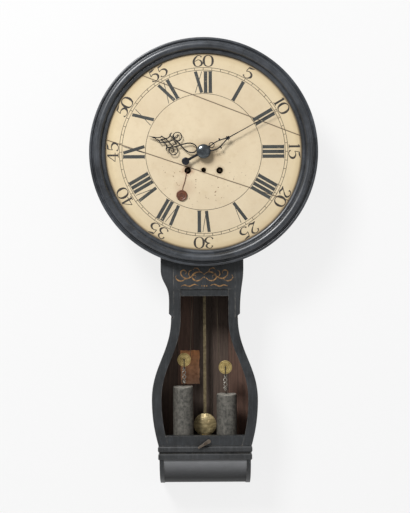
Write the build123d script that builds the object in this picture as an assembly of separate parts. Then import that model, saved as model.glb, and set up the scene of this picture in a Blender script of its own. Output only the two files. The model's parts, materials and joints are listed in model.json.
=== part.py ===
"""Tavern wall clock with a large round dial, a pear-shaped trunk and a two-train weight-driven movement.

Millimetres. X points right, Y points into the wall and Z points up. The origin is on the wall face of the
backboard, straight behind the arbor that carries the hands. Every wheel turns about an axis parallel to Y.
"""

import os
from math import acos, atan2, cos, degrees, hypot, pi, radians, sin, tan

from build123d import *

os.makedirs("parts", exist_ok=True)

# Fits
running = 0.05        # radial clearance of a shaft in its hole
touch_gap = 0.3       # gap between pieces that move past each other
split_gap = 0.5       # open joint between boards or segments that have shrunk

# Case boards, as distances from the wall
back_board = 18.0     # thickness of the backboard
side_board = 14.0     # thickness of the side boards
side_depth = 136.0    # depth of the side boards in front of the backboard
front_board = 18.0    # thickness of the boards round the trunk opening
stile_width = 32.0    # width of the boards left and right of the opening

# Silhouette, as half widths and heights
neck_half = 112.0
belly_half = 177.6
waist_half = 156.0
head_top = 170.0
sign_foot = -456.5
opening_top = -480.0
neck_foot = -553.0    # lower end of the straight neck and of the ears
belly_height = -828.0
opening_foot = -947.0
waist_height = -981.0
case_foot = -1132.0
waist_slope = -0.28   # lean of the silhouette where it meets the waist

# Dial
moulding_r = 380.0
moulding_width = 54.0     # from the inner edge of the moulding to its outer edge
moulding_lap = 40.0       # width of the ring of dial boards that the moulding covers
sign_top = 35.0 - moulding_r   # the sign board starts behind the moulding
dial_thickness = 20.0
batten_depth = 26.0
batten_width = 28.0
batten_half_height = 330.0
moulding_height = 22.0    # from the dial's face to the front of the swell
bead_width = 15.0
bead_height = 9.0
lip_width = 9.0
lip_height = 9.0
groove_width = 6.0
torus_steps = 9       # straight facets in the moulding's rounded section
crack_slope_upper = -0.386
crack_slope_lower = -0.338
crack_height_upper = 176.0
crack_height_lower = -68.0
moulding_joints = (4.0, 68.0, 132.0, 206.0, 294.0, 331.0)   # degrees round the dial where segments meet

# Hands
minute_angle = 61.5   # degrees clockwise from twelve
hour_angle = 286.0
hour_length = 190.0
minute_length = 277.0
tail_length = 68.0
tail_disc_r = 13.0
hand_stroke = 3.2
hand_thickness = 2.0
boss_r = 24.0
boss_height = 11.0
hour_hand_gap = 9.0   # from the dial to the back of the hour hand
minute_hand_gap = 16.0

# Movement, between a front and a back plate
plate_half_width = 92.0
plate_top = 85.0
plate_foot = -105.0
plate_thickness = 3.5
front_plate_back = -149.5
back_plate_back = -86.5
pillar_r = 5.0
pivot_r = 1.5
arbor_r = 2.5
fine_pivot_r = 1.0    # on the arbors with six-leaved pinions
fine_arbor_r = 1.4
winding_r = 5.0
winding_x = 53.0
winding_z = -62.0
wheel_thickness = 2.5
leaf_length = 6.0     # length of a pinion's leaves
barrel_r = 24.0
barrel_flange_r = 30.0
barrel_length = 38.0

# Tooth counts
great_teeth = 48
second_pinion_teeth = 8
second_teeth = 40
centre_pinion_teeth = 8
centre_teeth = 48
third_pinion_teeth = 6
third_teeth = 45
escape_pinion_teeth = 6
escape_teeth = 30
cannon_teeth = 18
minute_wheel_teeth = 36
minute_pinion_teeth = 6
hour_teeth = 36
hoop_pinion_teeth = 8
hoop_teeth = 40
warning_pinion_teeth = 6
warning_teeth = 36
fly_pinion_teeth = 6
lift_pin_count = 8

# Arbor places in the movement, as (x, z)
going_great_at = (winding_x, winding_z)
second_at = (25.5, -30.0)
centre_at = (0.0, 0.0)
third_at = (20.0, 23.0)
escape_at = (0.0, 38.5)
pallet_at = (0.0, 65.5)
strike_great_at = (-winding_x, winding_z)
pin_at = (-25.5, -30.0)
hoop_at = (-52.0, 0.0)
warning_at = (-47.0, 22.5)
fly_at = (-53.0, 39.0)
minute_wheel_at = (-24.0, 12.0)
hammer_at = (-74.0, -10.0)
hammer_head_r = 6.0
hammer_head_length = 13.0
escape_wheel_r = 19.0
escape_hook = 4.0
pallet_gap = 0.9      # from the pallets to the tips of the escape wheel at rest

# Pendulum
pendulum_y = -55.0
bob_r = 39.0
bob_thickness = 24.0
bob_drop = 994.0      # length of a pendulum that beats seconds
rod_width = 10.0
rod_thickness = 3.0
rod_end_r = 3.0
rod_end_drop = 58.0   # from the bob's centre to the rod's lower end
nut_r = 10.0
nut_height = 10.0

# Bell and hammer
bell_at = (-30.0, 100.0)
bell_r = 32.0
bell_height = 27.0
bell_wall = 2.5
bell_y = -104.5
# Profile of the bell, as shares of its radius and height
bell_shares = ((1.0, 0.0), (0.92, 0.3), (0.85, 0.55), (0.7, 0.8), (0.4, 0.95), (0.0, 1.0))

# Weights, pulleys and lines
weight_y = -116.0
line_r = 1.2
pulley_r = 22.5
pulley_width = 9.0
pulley_rim = 1.5
pulley_groove = 3.2    # depth of the groove
pulley_x = 70.0
left_pulley_z = -698.0
right_pulley_z = -724.0
axle_r = 2.5
weight_x = 74.0
weight_r = 35.0
weight_height = 205.0
weight_drop = 88.0    # from the pulley's axle to the top of the weight
line_anchor_x = 92.0
line_hole_r = 6.0      # holes in the seatboard for the lines from the barrels
seat_thickness = 20.0
seat_back = -72.0

# Sizes that follow from the ones above
reveal_r = moulding_r - moulding_width
dial_boards_r = reveal_r + moulding_lap
case_front = -(back_board + side_depth)
frame_front = case_front - front_board
dial_back = case_front - batten_depth
dial_face = dial_back - dial_thickness
front_plate_front = front_plate_back - plate_thickness
back_plate_front = back_plate_back - plate_thickness
seat_top = plate_foot
seat_foot = seat_top - seat_thickness
hour_hand_back = dial_face - hour_hand_gap
minute_hand_back = dial_face - minute_hand_gap
bob_z = pallet_at[1] - bob_drop


def keep(name, *pieces):
    """Write one file for a sub-part, with each of its pieces as its own solid."""
    solids = [solid for piece in pieces for solid in piece.solids()]
    export_step(Compound(label=name, children=solids), f"parts/{name}.step")


def block(x_range, y_range, z_range):
    """A rectangular block between pairs of limits."""
    lows, highs = zip(*(sorted(pair) for pair in (x_range, y_range, z_range)))
    size = [high - low for low, high in zip(lows, highs)]
    middle = [(high + low) / 2 for low, high in zip(lows, highs)]
    return Pos(*middle) * Box(*size)


def rod(at, r, back, front):
    """A round rod along Y through the point (x, z), from y=back to y=front."""
    return Pos(at[0], (back + front) / 2, at[1]) * Rot(90, 0, 0) * Cylinder(r, back - front)


def slab(profile, back, front):
    """Give a face drawn as (x, z) its thickness, from y=back towards the viewer to y=front."""
    return Pos(0, back, 0) * extrude(Plane.XZ * profile, amount=back - front, dir=(0, -1, 0))


def turned(points, at=(0.0, 0.0), arc=360.0):
    """Turn an outline given as (radius, y) about an axis parallel to Y through (x, z)."""
    face = make_face(Polyline(*points, close=True))
    return Pos(at[0], 0, at[1]) * revolve(face, axis=Axis.Y, revolution_arc=arc)


def domed(r, base, height, steps=6):
    """Outline of a shallow dome, drawn as (radius, y), that rises towards the viewer from y=base."""
    rise = [pi / 2 * step / steps for step in range(steps + 1)]
    curve = [(r * cos(angle), base - height * sin(angle)) for angle in rise[:-1]]
    return [(0, base), *curve, (0, base - height)]


def ring(at, r, wire_r, upright):
    """A ring of wire of eight-sided section, in a plane across Y or, when upright, across X."""
    angles = [pi * (side + 0.5) / 4 for side in range(8)]
    points = [(r + wire_r * cos(angle), wire_r * sin(angle)) for angle in angles]
    section = make_face(Polyline(*points, close=True))
    hoop = revolve(section, axis=Axis.Y)
    return Pos(*at) * Rot(0, 0, 90 if upright else 0) * hoop


def mirrored(piece):
    """The same piece on the other side of the clock's middle."""
    return mirror(piece, about=Plane.YZ)


def distance(a, b):
    return hypot(b[0] - a[0], b[1] - a[1])


# Case
def side_line(inset):
    """The curved edge of the trunk from neck to waist, moved inwards by an inset."""
    neck, belly, waist = (neck_half - inset, neck_foot), (belly_half - inset, belly_height), (
        waist_half - inset, waist_height)
    upper = Spline(neck, belly, tangents=[(0, -1), (0, -1)])
    lower = Spline(belly, waist, tangents=[(0, -1), (waist_slope, -1)])
    return upper + lower


def right_board(outer_inset, inner_inset, top, foot_z=waist_height):
    """A board that follows the right silhouette, between two insets, with a straight head."""
    outer, inner = side_line(outer_inset), side_line(inner_inset)
    head = Polyline(
        (neck_half - outer_inset, neck_foot), (neck_half - outer_inset, top),
        (neck_half - inner_inset, top), (neck_half - inner_inset, neck_foot))
    foot = Line((waist_half - outer_inset, foot_z), (waist_half - inner_inset, foot_z))
    return make_face([*outer.edges(), *head.edges(), *inner.edges(), *foot.edges()])


door_foot, door_top = -70.0, 130.0
door_front, door_back = -140.0, -44.0
door_thickness = 8.0
door_lap = 12.0       # overlap of the door on the side board round its opening
hinge_y = -37.0
hinge_r = 4.5
hinge_pin_r = 2.0
knuckle_length = 14.0
cheek_half = 153.0
moulding_depth = 23.0
base_moulding_depth = 21.0
waist_groove = 3.0
waist_overhang = 2.0
moulding_round = 8.0
top_board_thickness = 14.0
hanging_plate_half = 22.0
hanging_plate_foot = 92.0
hanging_plate_thickness = 3.0
hang_hole_z = 200.0
hang_hole_r = 5.0
hang_hole_rim = 20.0  # iron above the middle of the hole
plate_screw_r = 4.0
plate_screw_heights = (108.0, 150.0)
ear_lap = 9.0         # how far the ears let into the front of the neck
ear_straight = 45.0   # height of the ears' upright upper edge
left_ear_reach = neck_half + 34.0
right_ear_reach = neck_half + 19.0
label_left = -85.5
label_width = 68.0
label_top = -674.0
label_height = 119.0
label_thickness = 0.6

waist_block_foot = waist_height - moulding_depth
base_block_top = waist_block_foot - waist_groove
base_top = base_block_top - base_moulding_depth


def backboard():
    curve = side_line(0)
    foot = [(waist_half, waist_height), (cheek_half, base_top), (cheek_half, case_foot), (0, case_foot)]
    head = [(0, head_top), (neck_half, head_top), (neck_half, neck_foot)]
    edge = Polyline(*foot, *head)
    half = make_face([*curve.edges(), *edge.edges()])
    board = slab(half + mirror(half, about=Plane.YZ), 0, -back_board)
    recess_half = hanging_plate_half + split_gap
    recess_foot = hanging_plate_foot - split_gap
    recess = block((-recess_half, recess_half), (1, -hanging_plate_thickness), (recess_foot, head_top + 1))
    return board - recess


def hanging_plate():
    """Iron plate let into the back of the backboard, with the hole that goes over the wall hook."""
    plate = block((-hanging_plate_half, hanging_plate_half), (0, -hanging_plate_thickness),
                  (hanging_plate_foot, hang_hole_z + hang_hole_rim))
    plate = chamfer(plate.edges().filter_by(Axis.Y).group_by(Axis.Z)[-1], hanging_plate_half * 0.6)
    plate -= rod((0, hang_hole_z), hang_hole_r, 1, -hanging_plate_thickness - 1)
    shank_r = plate_screw_r - 1.5
    deep = [(shank_r, -hanging_plate_thickness), (0, -hanging_plate_thickness)]
    for z in plate_screw_heights:
        plate -= turned([(0, 1), (plate_screw_r + 1, 1), (plate_screw_r + 1, 0), *deep], (0, z))
        plate += turned([(0, -0.4), (plate_screw_r + 0.4, -0.4), *deep], (0, z))
    return plate


def side_board_right():
    board = slab(right_board(0, side_board, head_top), -back_board, case_front)
    window = block((0, neck_half + 1), (door_front + door_lap, door_back - door_lap),
                   (door_foot + door_lap, door_top - door_lap))
    return board - window


def ear(reach, chip):
    """The shaped bracket beside the neck, with a worn lower tip, seen on the right."""
    seam = neck_half - ear_lap
    shoulder_top = (reach, sign_top - ear_straight)
    tip = (neck_half + 7, neck_foot + 14)
    outline = Polyline((seam, neck_foot), (seam, sign_top), (reach, sign_top), shoulder_top)
    shoulder = Spline(shoulder_top, (neck_half + 12, sign_foot), tip, tangents=[(0, -1), (0, -1)])
    foot = Line(tip, (seam, neck_foot))
    board = slab(make_face([*outline.edges(), *shoulder.edges(), *foot.edges()]), case_front, frame_front)
    if chip:
        board -= Pos(reach + 2, frame_front, sign_top - ear_straight - 9) * Rot(0, 40, 0) * Box(9, 12, 9)
    return board


def stile_right():
    body = right_board(0, stile_width, sign_foot)
    shoulder = block((neck_half - ear_lap, neck_half), (case_front, frame_front), (neck_foot, sign_foot))
    return slab(body, case_front, frame_front) - shoulder


def base_frame(half, front, top, foot, rounding):
    """A moulded frame that runs round the front and both sides of the case."""
    outer = block((-half, half), (-back_board, front), (top, foot))
    middles = [(edge, edge @ 0.5) for edge in outer.edges()]
    clear = [(edge, at) for edge, at in middles if abs(at.Y + back_board) > 1]
    edges = [edge for edge, at in clear if min(abs(at.Z - top), abs(at.Z - foot)) < 1]
    outer = fillet(edges, rounding)
    inner_half = waist_half - side_board - 2
    return outer - block((-inner_half, inner_half), (1 - back_board, case_front), (top + 1, foot - 1))


def base_mouldings():
    half = waist_half + waist_overhang
    waist = base_frame(half, frame_front - 3, waist_height, waist_block_foot, moulding_round)
    inner_half = waist_half - side_board - 2
    groove = block((-half + 5, half - 5), (-back_board, frame_front + 4), (waist_block_foot, base_block_top))
    groove -= block((-inner_half, inner_half), (1 - back_board, case_front), (waist_height, base_top))
    base = base_frame(half - 1, frame_front - 5, base_block_top, base_top, moulding_round - 3)
    return waist + groove, base


def base_side(depth, height):
    """Quarter-ellipse profile of the base, drawn as (y, z), running back to the wall at its foot."""
    curve = EllipticalCenterArc((-back_board, base_top), depth, height, start_angle=180, arc_size=90)
    corner = (-back_board, base_top)
    lines = Polyline((-back_board, base_top - height), corner, (-back_board - depth, base_top))
    return make_face([*curve.edges(), *lines.edges()])


def base_cheek():
    depth = -frame_front - back_board
    profile = base_side(depth, base_top - case_foot)
    solid = extrude(Plane.YZ * profile, amount=side_board, dir=(1, 0, 0))
    return Pos(cheek_half - side_board, 0, 0) * solid


def base_front_panel():
    depth = -frame_front - back_board
    height = base_top - case_foot
    inset, thickness = 2.0, 10.0
    outer = base_side(depth - inset, height - inset)
    inner = base_side(depth - inset - thickness, height - inset - thickness)
    half = cheek_half - side_board
    return Pos(-half, 0, 0) * extrude(Plane.YZ * (outer - inner), amount=2 * half, dir=(1, 0, 0))


def side_door():
    """Access door that laps over the opening in the side board, with two hinge knuckles."""
    face = neck_half + touch_gap
    door = block((face, face + door_thickness), (door_front, door_back), (door_foot, door_top))
    for low in (door_foot + 20, door_top - 20 - knuckle_length):
        door += block((hinge_x(), face + door_thickness), (door_back, hinge_y), (low, low + knuckle_length))
        door += Pos(hinge_x(), hinge_y, low + knuckle_length / 2) * Cylinder(hinge_r, knuckle_length)
        door -= Pos(hinge_x(), hinge_y, low + knuckle_length / 2) * Cylinder(
            hinge_pin_r + running, knuckle_length + 2)
    return door


def hinge_x():
    return neck_half + touch_gap + hinge_r


def door_hinge():
    """Pin, knuckle and leaf on the side board, below each knuckle of the door."""
    pieces = []
    for low in (door_foot + 20, door_top - 20 - knuckle_length):
        foot = low - touch_gap - knuckle_length
        leaf = block((neck_half, neck_half + 2), (hinge_y, -back_board - 4), (foot, foot + knuckle_length))
        knuckle = Pos(hinge_x(), hinge_y, foot + knuckle_length / 2) * Cylinder(hinge_r - 0.2, knuckle_length)
        pin_height = 2 * knuckle_length + touch_gap + 1
        pin = Pos(hinge_x(), hinge_y, foot + pin_height / 2) * Cylinder(hinge_pin_r, pin_height)
        pieces.append(leaf + knuckle + pin)
    return pieces


def case_parts():
    keep("backboard", backboard())
    keep("hanging_plate", hanging_plate())
    keep("right_side_board", side_board_right())
    keep("left_side_board", mirrored(side_board_right()))
    keep("top_board", block((-neck_half, neck_half), (-back_board, case_front),
                            (head_top, head_top + top_board_thickness)))
    keep("left_ear", mirrored(ear(left_ear_reach, False)))
    keep("right_ear", ear(right_ear_reach, True))
    keep("front_stiles", stile_right(), mirrored(stile_right()))
    seam = neck_half - ear_lap
    keep("sign_board", block((-seam, seam), (case_front, frame_front), (sign_foot, sign_top)))
    lintel_half = neck_half - stile_width
    lintel = block((-lintel_half, lintel_half), (case_front, frame_front + 4), (opening_top, sign_foot))
    keep("front_rails", lintel, bottom_rail())
    keep("base_mouldings", *base_mouldings())
    keep("base_cheeks", base_cheek(), mirrored(base_cheek()))
    keep("base_front_panel", base_front_panel())
    keep("paper_label", paper_label())
    keep("right_side_door", side_door())
    keep("left_side_door", mirrored(side_door()))
    keep("door_hinges", *door_hinge(), *(mirrored(piece) for piece in door_hinge()))


def paper_label():
    across = (label_left, label_left + label_width)
    return block(across, (-back_board, -back_board - label_thickness), (label_top - label_height, label_top))


def bottom_rail():
    """The rail below the opening, cut to the curved inner edges of the stiles."""
    board = block((-belly_half, belly_half), (case_front, frame_front), (waist_height, opening_foot))
    inside = right_board(stile_width, belly_half, opening_foot + 50)
    curve = side_line(stile_width)
    edge = Polyline((waist_half - stile_width, waist_height), (0, waist_height), (0, neck_foot),
                    (neck_half - stile_width, neck_foot))
    half = make_face([*curve.edges(), *edge.edges()])
    return board & slab(half + mirror(half, about=Plane.YZ), case_front, frame_front)


# Turn-button on the bottom rail
button_at = (1.0, -972.0)
button_reach = 28.0       # from the screw to the narrow end
button_head = 13.0        # from the screw to the middle of the round end
button_tilt = 36.0
button_r = 7.0
button_thickness = 6.0
button_gap = 4.5
screw_r = 2.2
screw_head_r = 4.5


def turn_button():
    """Tapered wooden button with a round head, on a collar that holds it clear of the waist moulding."""
    front = frame_front - button_gap
    head = Pos(0, button_head) * Circle(button_r)
    arm = slab(taper(3.0, -button_reach, button_r - 0.5, button_head) + head, front, front - button_thickness)
    collar = rod((0, 0), button_r - 2, frame_front, front)
    hole = rod((0, 0), screw_r + running, frame_front + 1, front - button_thickness - 1)
    return Pos(button_at[0], 0, button_at[1]) * Rot(0, button_tilt, 0) * (arm + collar - hole)


def turn_button_screw():
    front = frame_front - button_gap - button_thickness
    shank = rod(button_at, screw_r, frame_front, front - touch_gap)
    head = rod(button_at, screw_head_r, front - touch_gap, front - touch_gap - 2)
    slot = Pos(button_at[0], front - 2.5, button_at[1]) * Box(2 * screw_head_r + 1, 1.4, 1.0)
    return shank + head - slot


# Dial
winding_hole_r = 11.0
middle_hole_r = 8.0
centre_hole_r = 14.0


def dial_boards():
    """Three boards with slanting open joints, bored for the hands and the winding squares."""
    disc = rod((0, 0), dial_boards_r, dial_back, dial_face)
    for at, r in (((0, 0), centre_hole_r), ((winding_x, winding_z), winding_hole_r),
                  ((-winding_x, winding_z), winding_hole_r), ((0, winding_z + 2), middle_hole_r)):
        disc -= rod(at, r, dial_back + 1, dial_face - 1)
    for slope, height in ((crack_slope_upper, crack_height_upper), (crack_slope_lower, crack_height_lower)):
        tilt = -degrees(atan2(slope, 1))
        kerf = Pos(0, (dial_back + dial_face) / 2, height) * Rot(0, tilt, 0) * Box(
            3 * dial_boards_r, dial_thickness + 2, split_gap)
        disc -= kerf
    return disc


def dial_battens():
    outer = neck_half
    inner = neck_half - batten_width
    height = (-batten_half_height, batten_half_height)
    return [block((side * inner, side * outer), (case_front, dial_back), height) for side in (-1, 1)]


def moulding_profile():
    """Cross-section of the dial moulding, drawn as (radius, y): a bead, a swell, a groove and an outer lip."""
    swell_in, swell_out = reveal_r + bead_width, moulding_r - lip_width - groove_width
    swell_foot = dial_face - bead_height
    swell_height = moulding_height - bead_height
    lip_front = dial_face - lip_height
    groove = dial_face - lip_height / 2
    bead = [(reveal_r, dial_face), (reveal_r, dial_face - lip_height / 2), (reveal_r + bead_width / 3, swell_foot)]
    middle, half = (swell_in + swell_out) / 2, (swell_out - swell_in) / 2
    angles = [pi * step / torus_steps for step in range(torus_steps + 1)]
    swell = [(middle - half * cos(angle), swell_foot - swell_height * sin(angle)) for angle in angles]
    lip = [(swell_out, groove), (moulding_r - lip_width, groove), (moulding_r - lip_width + 1, lip_front),
           (moulding_r - 2, lip_front), (moulding_r, lip_front + 3)]
    seat = dial_boards_r + touch_gap
    back = [(moulding_r, dial_back + 2), (seat, dial_back + 2), (seat, dial_face)]
    return make_face(Polyline(*bead, *swell, *lip, *back, close=True))


def dial_moulding():
    """Turned moulding in segments with open joints, numbered anticlockwise as seen from the front."""
    profile = moulding_profile()
    gap = degrees(split_gap / moulding_r)
    ends = [*moulding_joints[1:], moulding_joints[0] + 360]
    pieces = []
    for start, end in zip(moulding_joints, ends):
        segment = revolve(profile, axis=Axis.Y, revolution_arc=end - start - gap)
        pieces.append(Rot(0, -end, 0) * segment)
    return pieces


# Hands, drawn as (sideways, outwards) pointing at twelve
hour_crossing = 79.0      # where the arms of the lower loop cross
hour_loop_at = (15.0, 42.0)
hour_waist = 120.0        # where the two diamonds meet
hour_knot_at = (20.0, 121.0)
hour_spur_at = (31.0, 117.0)
hour_neck_at = (7.0, 132.0)
hour_barb_at = (11.0, 147.0)
hour_point_z = 176.0      # where the two arms of the point meet
hour_scroll_at = (24.0, 97.0)
hour_scroll_r = 14.0
hour_curl_at = (26.0, 103.0)
hour_curl_r = 7.0
hour_diamonds = ((93.0, hour_waist, 10.0), (hour_waist, hour_barb_at[1], 5.5))   # foot, top and half width
minute_ring_at = (-5.0, 33.0)
minute_ring_r = 8.5
minute_knot_z = 92.0      # where the two arms of the leaf meet
minute_leaf_left = (-7.0, 62.0)
minute_leaf_right = (15.0, 46.0)
minute_barb_at = (20.0, 54.0)
blade_half = 2.4          # half widths of the blade at the knot and of the tail at the boss
tail_half = 5.0


def stroke(edge, width=hand_stroke, steps=12):
    """A bar of even width along an edge, as a face with straight sides."""
    left, right = [], []
    for step in range(steps + 1):
        at, along = edge @ (step / steps), edge % (step / steps)
        side = Vector(-along.Y, along.X) * (width / 2)
        left.append(at + side)
        right.insert(0, at - side)
    return make_face(Polyline(*left, *right, close=True))


def knot(at):
    """A small swelling where strokes of a hand meet."""
    return Pos(*at) * RegularPolygon(hand_stroke * 0.8, 10)


def taper(foot_half, foot, end_half, end):
    """A straight bar on the middle line that narrows from one end to the other."""
    feet = [(-foot_half, foot), (foot_half, foot)]
    return make_face(Polyline(*feet, (end_half, end), (-end_half, end), close=True))


def hour_hand_face():
    """Loop over the boss, a scroll on each side, two diamonds and a barbed point."""
    foot, crossing, point = (0, boss_r - 1), (0, hour_crossing), (0, hour_point_z)
    curves = [
        Spline(crossing, hour_loop_at, foot, tangents=[(0.45, -1), (-1, 0)]),
        Spline(crossing, hour_knot_at, tangents=[(0.6, 1), (0.4, 1)]),
        Spline(hour_knot_at, hour_neck_at, hour_barb_at, tangents=[(-1, 0.5), (0.5, 1)]),
        Spline(hour_barb_at, point, tangents=[(-1, 0.7), (-0.1, 1)])]
    half = [stroke(curve) for curve in curves]
    half.append(stroke(CenterArc(hour_scroll_at, hour_scroll_r, -170, 320), steps=24))
    half.append(stroke(CenterArc(hour_curl_at, hour_curl_r, 60, 210)))
    half.append(stroke(Line(hour_knot_at, hour_spur_at), steps=1))
    past = -0.5           # the sides of a diamond cross the middle line a little
    for low, high, width in hour_diamonds:
        corner = (width, (low + high) / 2)
        rise, fall = Line((past, low), corner), Line(corner, (past, high))
        half += [stroke(rise, steps=1), stroke(fall, steps=1), knot(corner)]
    half += [knot(at) for at in (hour_knot_at, hour_barb_at, hour_spur_at)]
    middle = [knot(at) for at in (foot, crossing, (0, hour_waist), point)]
    tip = taper(hand_stroke * 0.6, hour_point_z - 4, 0.3, hour_length)
    return Sketch() + [*half, *(mirror(face, about=Plane.YZ) for face in half), *middle, tip]


def hour_hand():
    collar = Circle(boss_r - 1.5) + hour_hand_face()
    hand = slab(collar, hour_hand_back, hour_hand_back - hand_thickness)
    bore = rod((0, 0), hour_pipe_r, hour_hand_back + 1, hour_hand_back - hand_thickness - 1)
    return Rot(0, hour_angle, 0) * (hand - bore)


def minute_hand_face():
    """Ring and leaf over the boss, a long blade, and a tail with a disc."""
    meet = (0, minute_knot_z)
    left = Spline((-2, boss_r - 3), minute_leaf_left, meet, tangents=[(-0.6, 1), (0.3, 1)])
    right = Spline((8, boss_r - 5), minute_leaf_right, meet, tangents=[(0.6, 1), (-0.5, 1)])
    faces = [stroke(CenterArc(minute_ring_at, minute_ring_r, start, 200), steps=16) for start in (0, 180)]
    barb = Line((minute_leaf_right[0] - 4, minute_barb_at[1] + 2), minute_barb_at)
    faces += [stroke(left), stroke(right), stroke(barb, steps=1)]
    faces += [Pos(*meet) * RegularPolygon(2 * hand_stroke, 4), knot(minute_barb_at)]
    faces.append(taper(blade_half, minute_knot_z, 0.8, minute_length))
    faces.append(taper(tail_half - 1, -tail_length, tail_half + 1, 0))
    faces.append(Pos(0, -tail_length) * Circle(tail_disc_r))
    return Sketch() + faces


def minute_hand():
    """Minute hand with its counterweight tail and the domed boss over the hands."""
    front = minute_hand_back - hand_thickness
    hand = slab(minute_hand_face() + Circle(boss_r - 2), minute_hand_back, front)
    dome = turned(domed(boss_r, front, boss_height))
    bore = rod((0, 0), cannon_pipe_r, minute_hand_back + 1, minute_hand_back - 1)
    return Rot(0, minute_angle, 0) * (hand + dome - bore)


# Movement
cannon_pipe_r = 4.0
hour_pipe_r = 7.0
motion_front = -166.0  # front faces of the motion work


def tooth_outline(teeth, pitch_r, phase, leaves=False):
    """Straight-flanked teeth round a pitch circle; phase is the angle of one tooth, anticlockwise from +X."""
    module = 2 * pitch_r / teeth
    tip, root = pitch_r + 0.8 * module, pitch_r - 1.1 * module
    step = 2 * pi / teeth
    share = ((-0.17, root), (-0.08, tip), (0.08, tip), (0.17, root)) if leaves else (
        (-0.22, root), (0.0, tip), (0.22, root))
    points = []
    for tooth in range(teeth):
        for place, r in share:
            angle = phase + (tooth + place) * step
            points.append((r * cos(angle), r * sin(angle)))
    return make_face(Polyline(*points, close=True))


def crossings(inner, outer, arms=4, arm_width=5.0):
    """Straight-sided windows that leave a wheel's rim, hub and arms."""
    windows = Sketch()
    for arm in range(arms):
        spread = pi / arms
        corners = []
        for r, side in ((inner, -1), (inner, 1), (outer, 1), (outer, -1)):
            half = spread - arm_width / 2 / r
            corners.append((r * cos(side * half), r * sin(side * half)))
        middle = (outer * 1.04, 0)
        window = make_face(Polyline(*corners[:3], middle, corners[3], close=True))
        windows += Rot(0, 0, 360 * (arm + 0.5) / arms) * window
    return windows


def pitch_radii(a, b, wheel_teeth, pinion_teeth):
    """Pitch radii of a wheel at a and a pinion at b that mesh at the distance between them."""
    share = distance(a, b) / (wheel_teeth + pinion_teeth)
    return share * wheel_teeth, share * pinion_teeth


def meshed_phase(a, b, wheel_teeth, pinion_teeth, wheel_phase=0.0):
    """Angle of a tooth on the gear at b that puts one of its gaps round a tooth of the gear at a."""
    line = atan2(b[1] - a[1], b[0] - a[0])
    ahead = (wheel_phase - line) % (2 * pi / wheel_teeth)
    return line + pi + pi / pinion_teeth - ahead * wheel_teeth / pinion_teeth


def toothed_wheel(at, teeth, pitch_r, front, hub_r, phase=0.0, thickness=wheel_thickness, bore=0.0):
    module = 2 * pitch_r / teeth
    face = tooth_outline(teeth, pitch_r, phase)
    rim = pitch_r - 1.25 * module - 3.0
    if rim - hub_r > 7:
        face -= crossings(hub_r + 1.5, rim * 0.96)
    if bore:
        face -= Circle(bore)
    return Pos(at[0], 0, at[1]) * slab(face, front + thickness, front)


def pinion(at, leaves, pitch_r, phase, back, front):
    return Pos(at[0], 0, at[1]) * slab(tooth_outline(leaves, pitch_r, phase, True), back, front)


def arbor(at):
    """A wheel's arbor, with pivots turned down to run in both plates."""
    r = fine_arbor_r if at in fine_places else arbor_r
    body = rod(at, r, back_plate_front - touch_gap, front_plate_back + touch_gap)
    return body + rod(at, pivot_radius(at), back_plate_back, front_plate_front)


front_layer = front_plate_back + 3.5      # front face of the great wheels
centre_layer = front_layer + 7.0
third_layer = -121.0
escape_layer = -104.0
pin_layer = -98.8
second_layer = -94.8
pinion_lead = 1.7                         # from a wheel's front face to the front of the next pinion

great_r, second_pinion_r = pitch_radii(going_great_at, second_at, great_teeth, second_pinion_teeth)
second_r, centre_pinion_r = pitch_radii(second_at, centre_at, second_teeth, centre_pinion_teeth)
centre_r, third_pinion_r = pitch_radii(centre_at, third_at, centre_teeth, third_pinion_teeth)
third_r, escape_pinion_r = pitch_radii(third_at, escape_at, third_teeth, escape_pinion_teeth)
hoop_pinion_r = pitch_radii(pin_at, hoop_at, second_teeth, hoop_pinion_teeth)[1]
pin_r = pitch_radii(pin_at, hoop_at, second_teeth, hoop_pinion_teeth)[0]
hoop_r, warning_pinion_r = pitch_radii(hoop_at, warning_at, hoop_teeth, warning_pinion_teeth)
warning_r, fly_pinion_r = pitch_radii(warning_at, fly_at, warning_teeth, fly_pinion_teeth)
cannon_r, minute_wheel_r = pitch_radii(centre_at, minute_wheel_at, cannon_teeth, minute_wheel_teeth)
minute_pinion_r, hour_r = pitch_radii(minute_wheel_at, centre_at, minute_pinion_teeth, hour_teeth)

arbor_places = (going_great_at, second_at, third_at, escape_at, strike_great_at, pin_at, hoop_at, warning_at,
                fly_at, hammer_at, centre_at, pallet_at)


fine_places = (third_at, escape_at, warning_at, fly_at)


def pivot_radius(at):
    if at in (going_great_at, strike_great_at):
        return winding_r
    if at in fine_places:
        return fine_pivot_r
    return cannon_core_r if at == centre_at else pivot_r


cannon_core_r = 2.5


def movement_plate(back, front):
    plate = block((-plate_half_width, plate_half_width), (back, front), (plate_foot, plate_top))
    for at in arbor_places:
        plate -= rod(at, pivot_radius(at) + running, back + 1, front - 1)
    return plate


def pillars():
    across, low, high = plate_half_width - pillar_r - 1, plate_foot + 9, plate_top - 9
    return [rod((x, z), pillar_r, back_plate_front, front_plate_back) for x in (-across, across)
            for z in (low, high)]


def barrel(at):
    """Line barrel on its winding arbor, whose square end stands in the dial's hole."""
    back, front = front_layer + wheel_thickness + 2 + barrel_length, front_layer + wheel_thickness + 2
    far_flange = [(winding_r - 1, back), (barrel_flange_r, back), (barrel_flange_r, back - 2)]
    near_flange = [(barrel_flange_r, front + 2), (barrel_flange_r, front), (winding_r - 1, front)]
    drum = turned([*far_flange, (barrel_r, back - 2), (barrel_r, front + 2), *near_flange], at)
    core = rod(at, winding_r, back_plate_back, front_plate_front - 14)
    side = winding_r * 1.35
    square = block((at[0] - side / 2, at[0] + side / 2), (front_plate_front - 14, dial_face + 4),
                   (at[1] - side / 2, at[1] + side / 2))
    return drum + core + square


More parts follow.
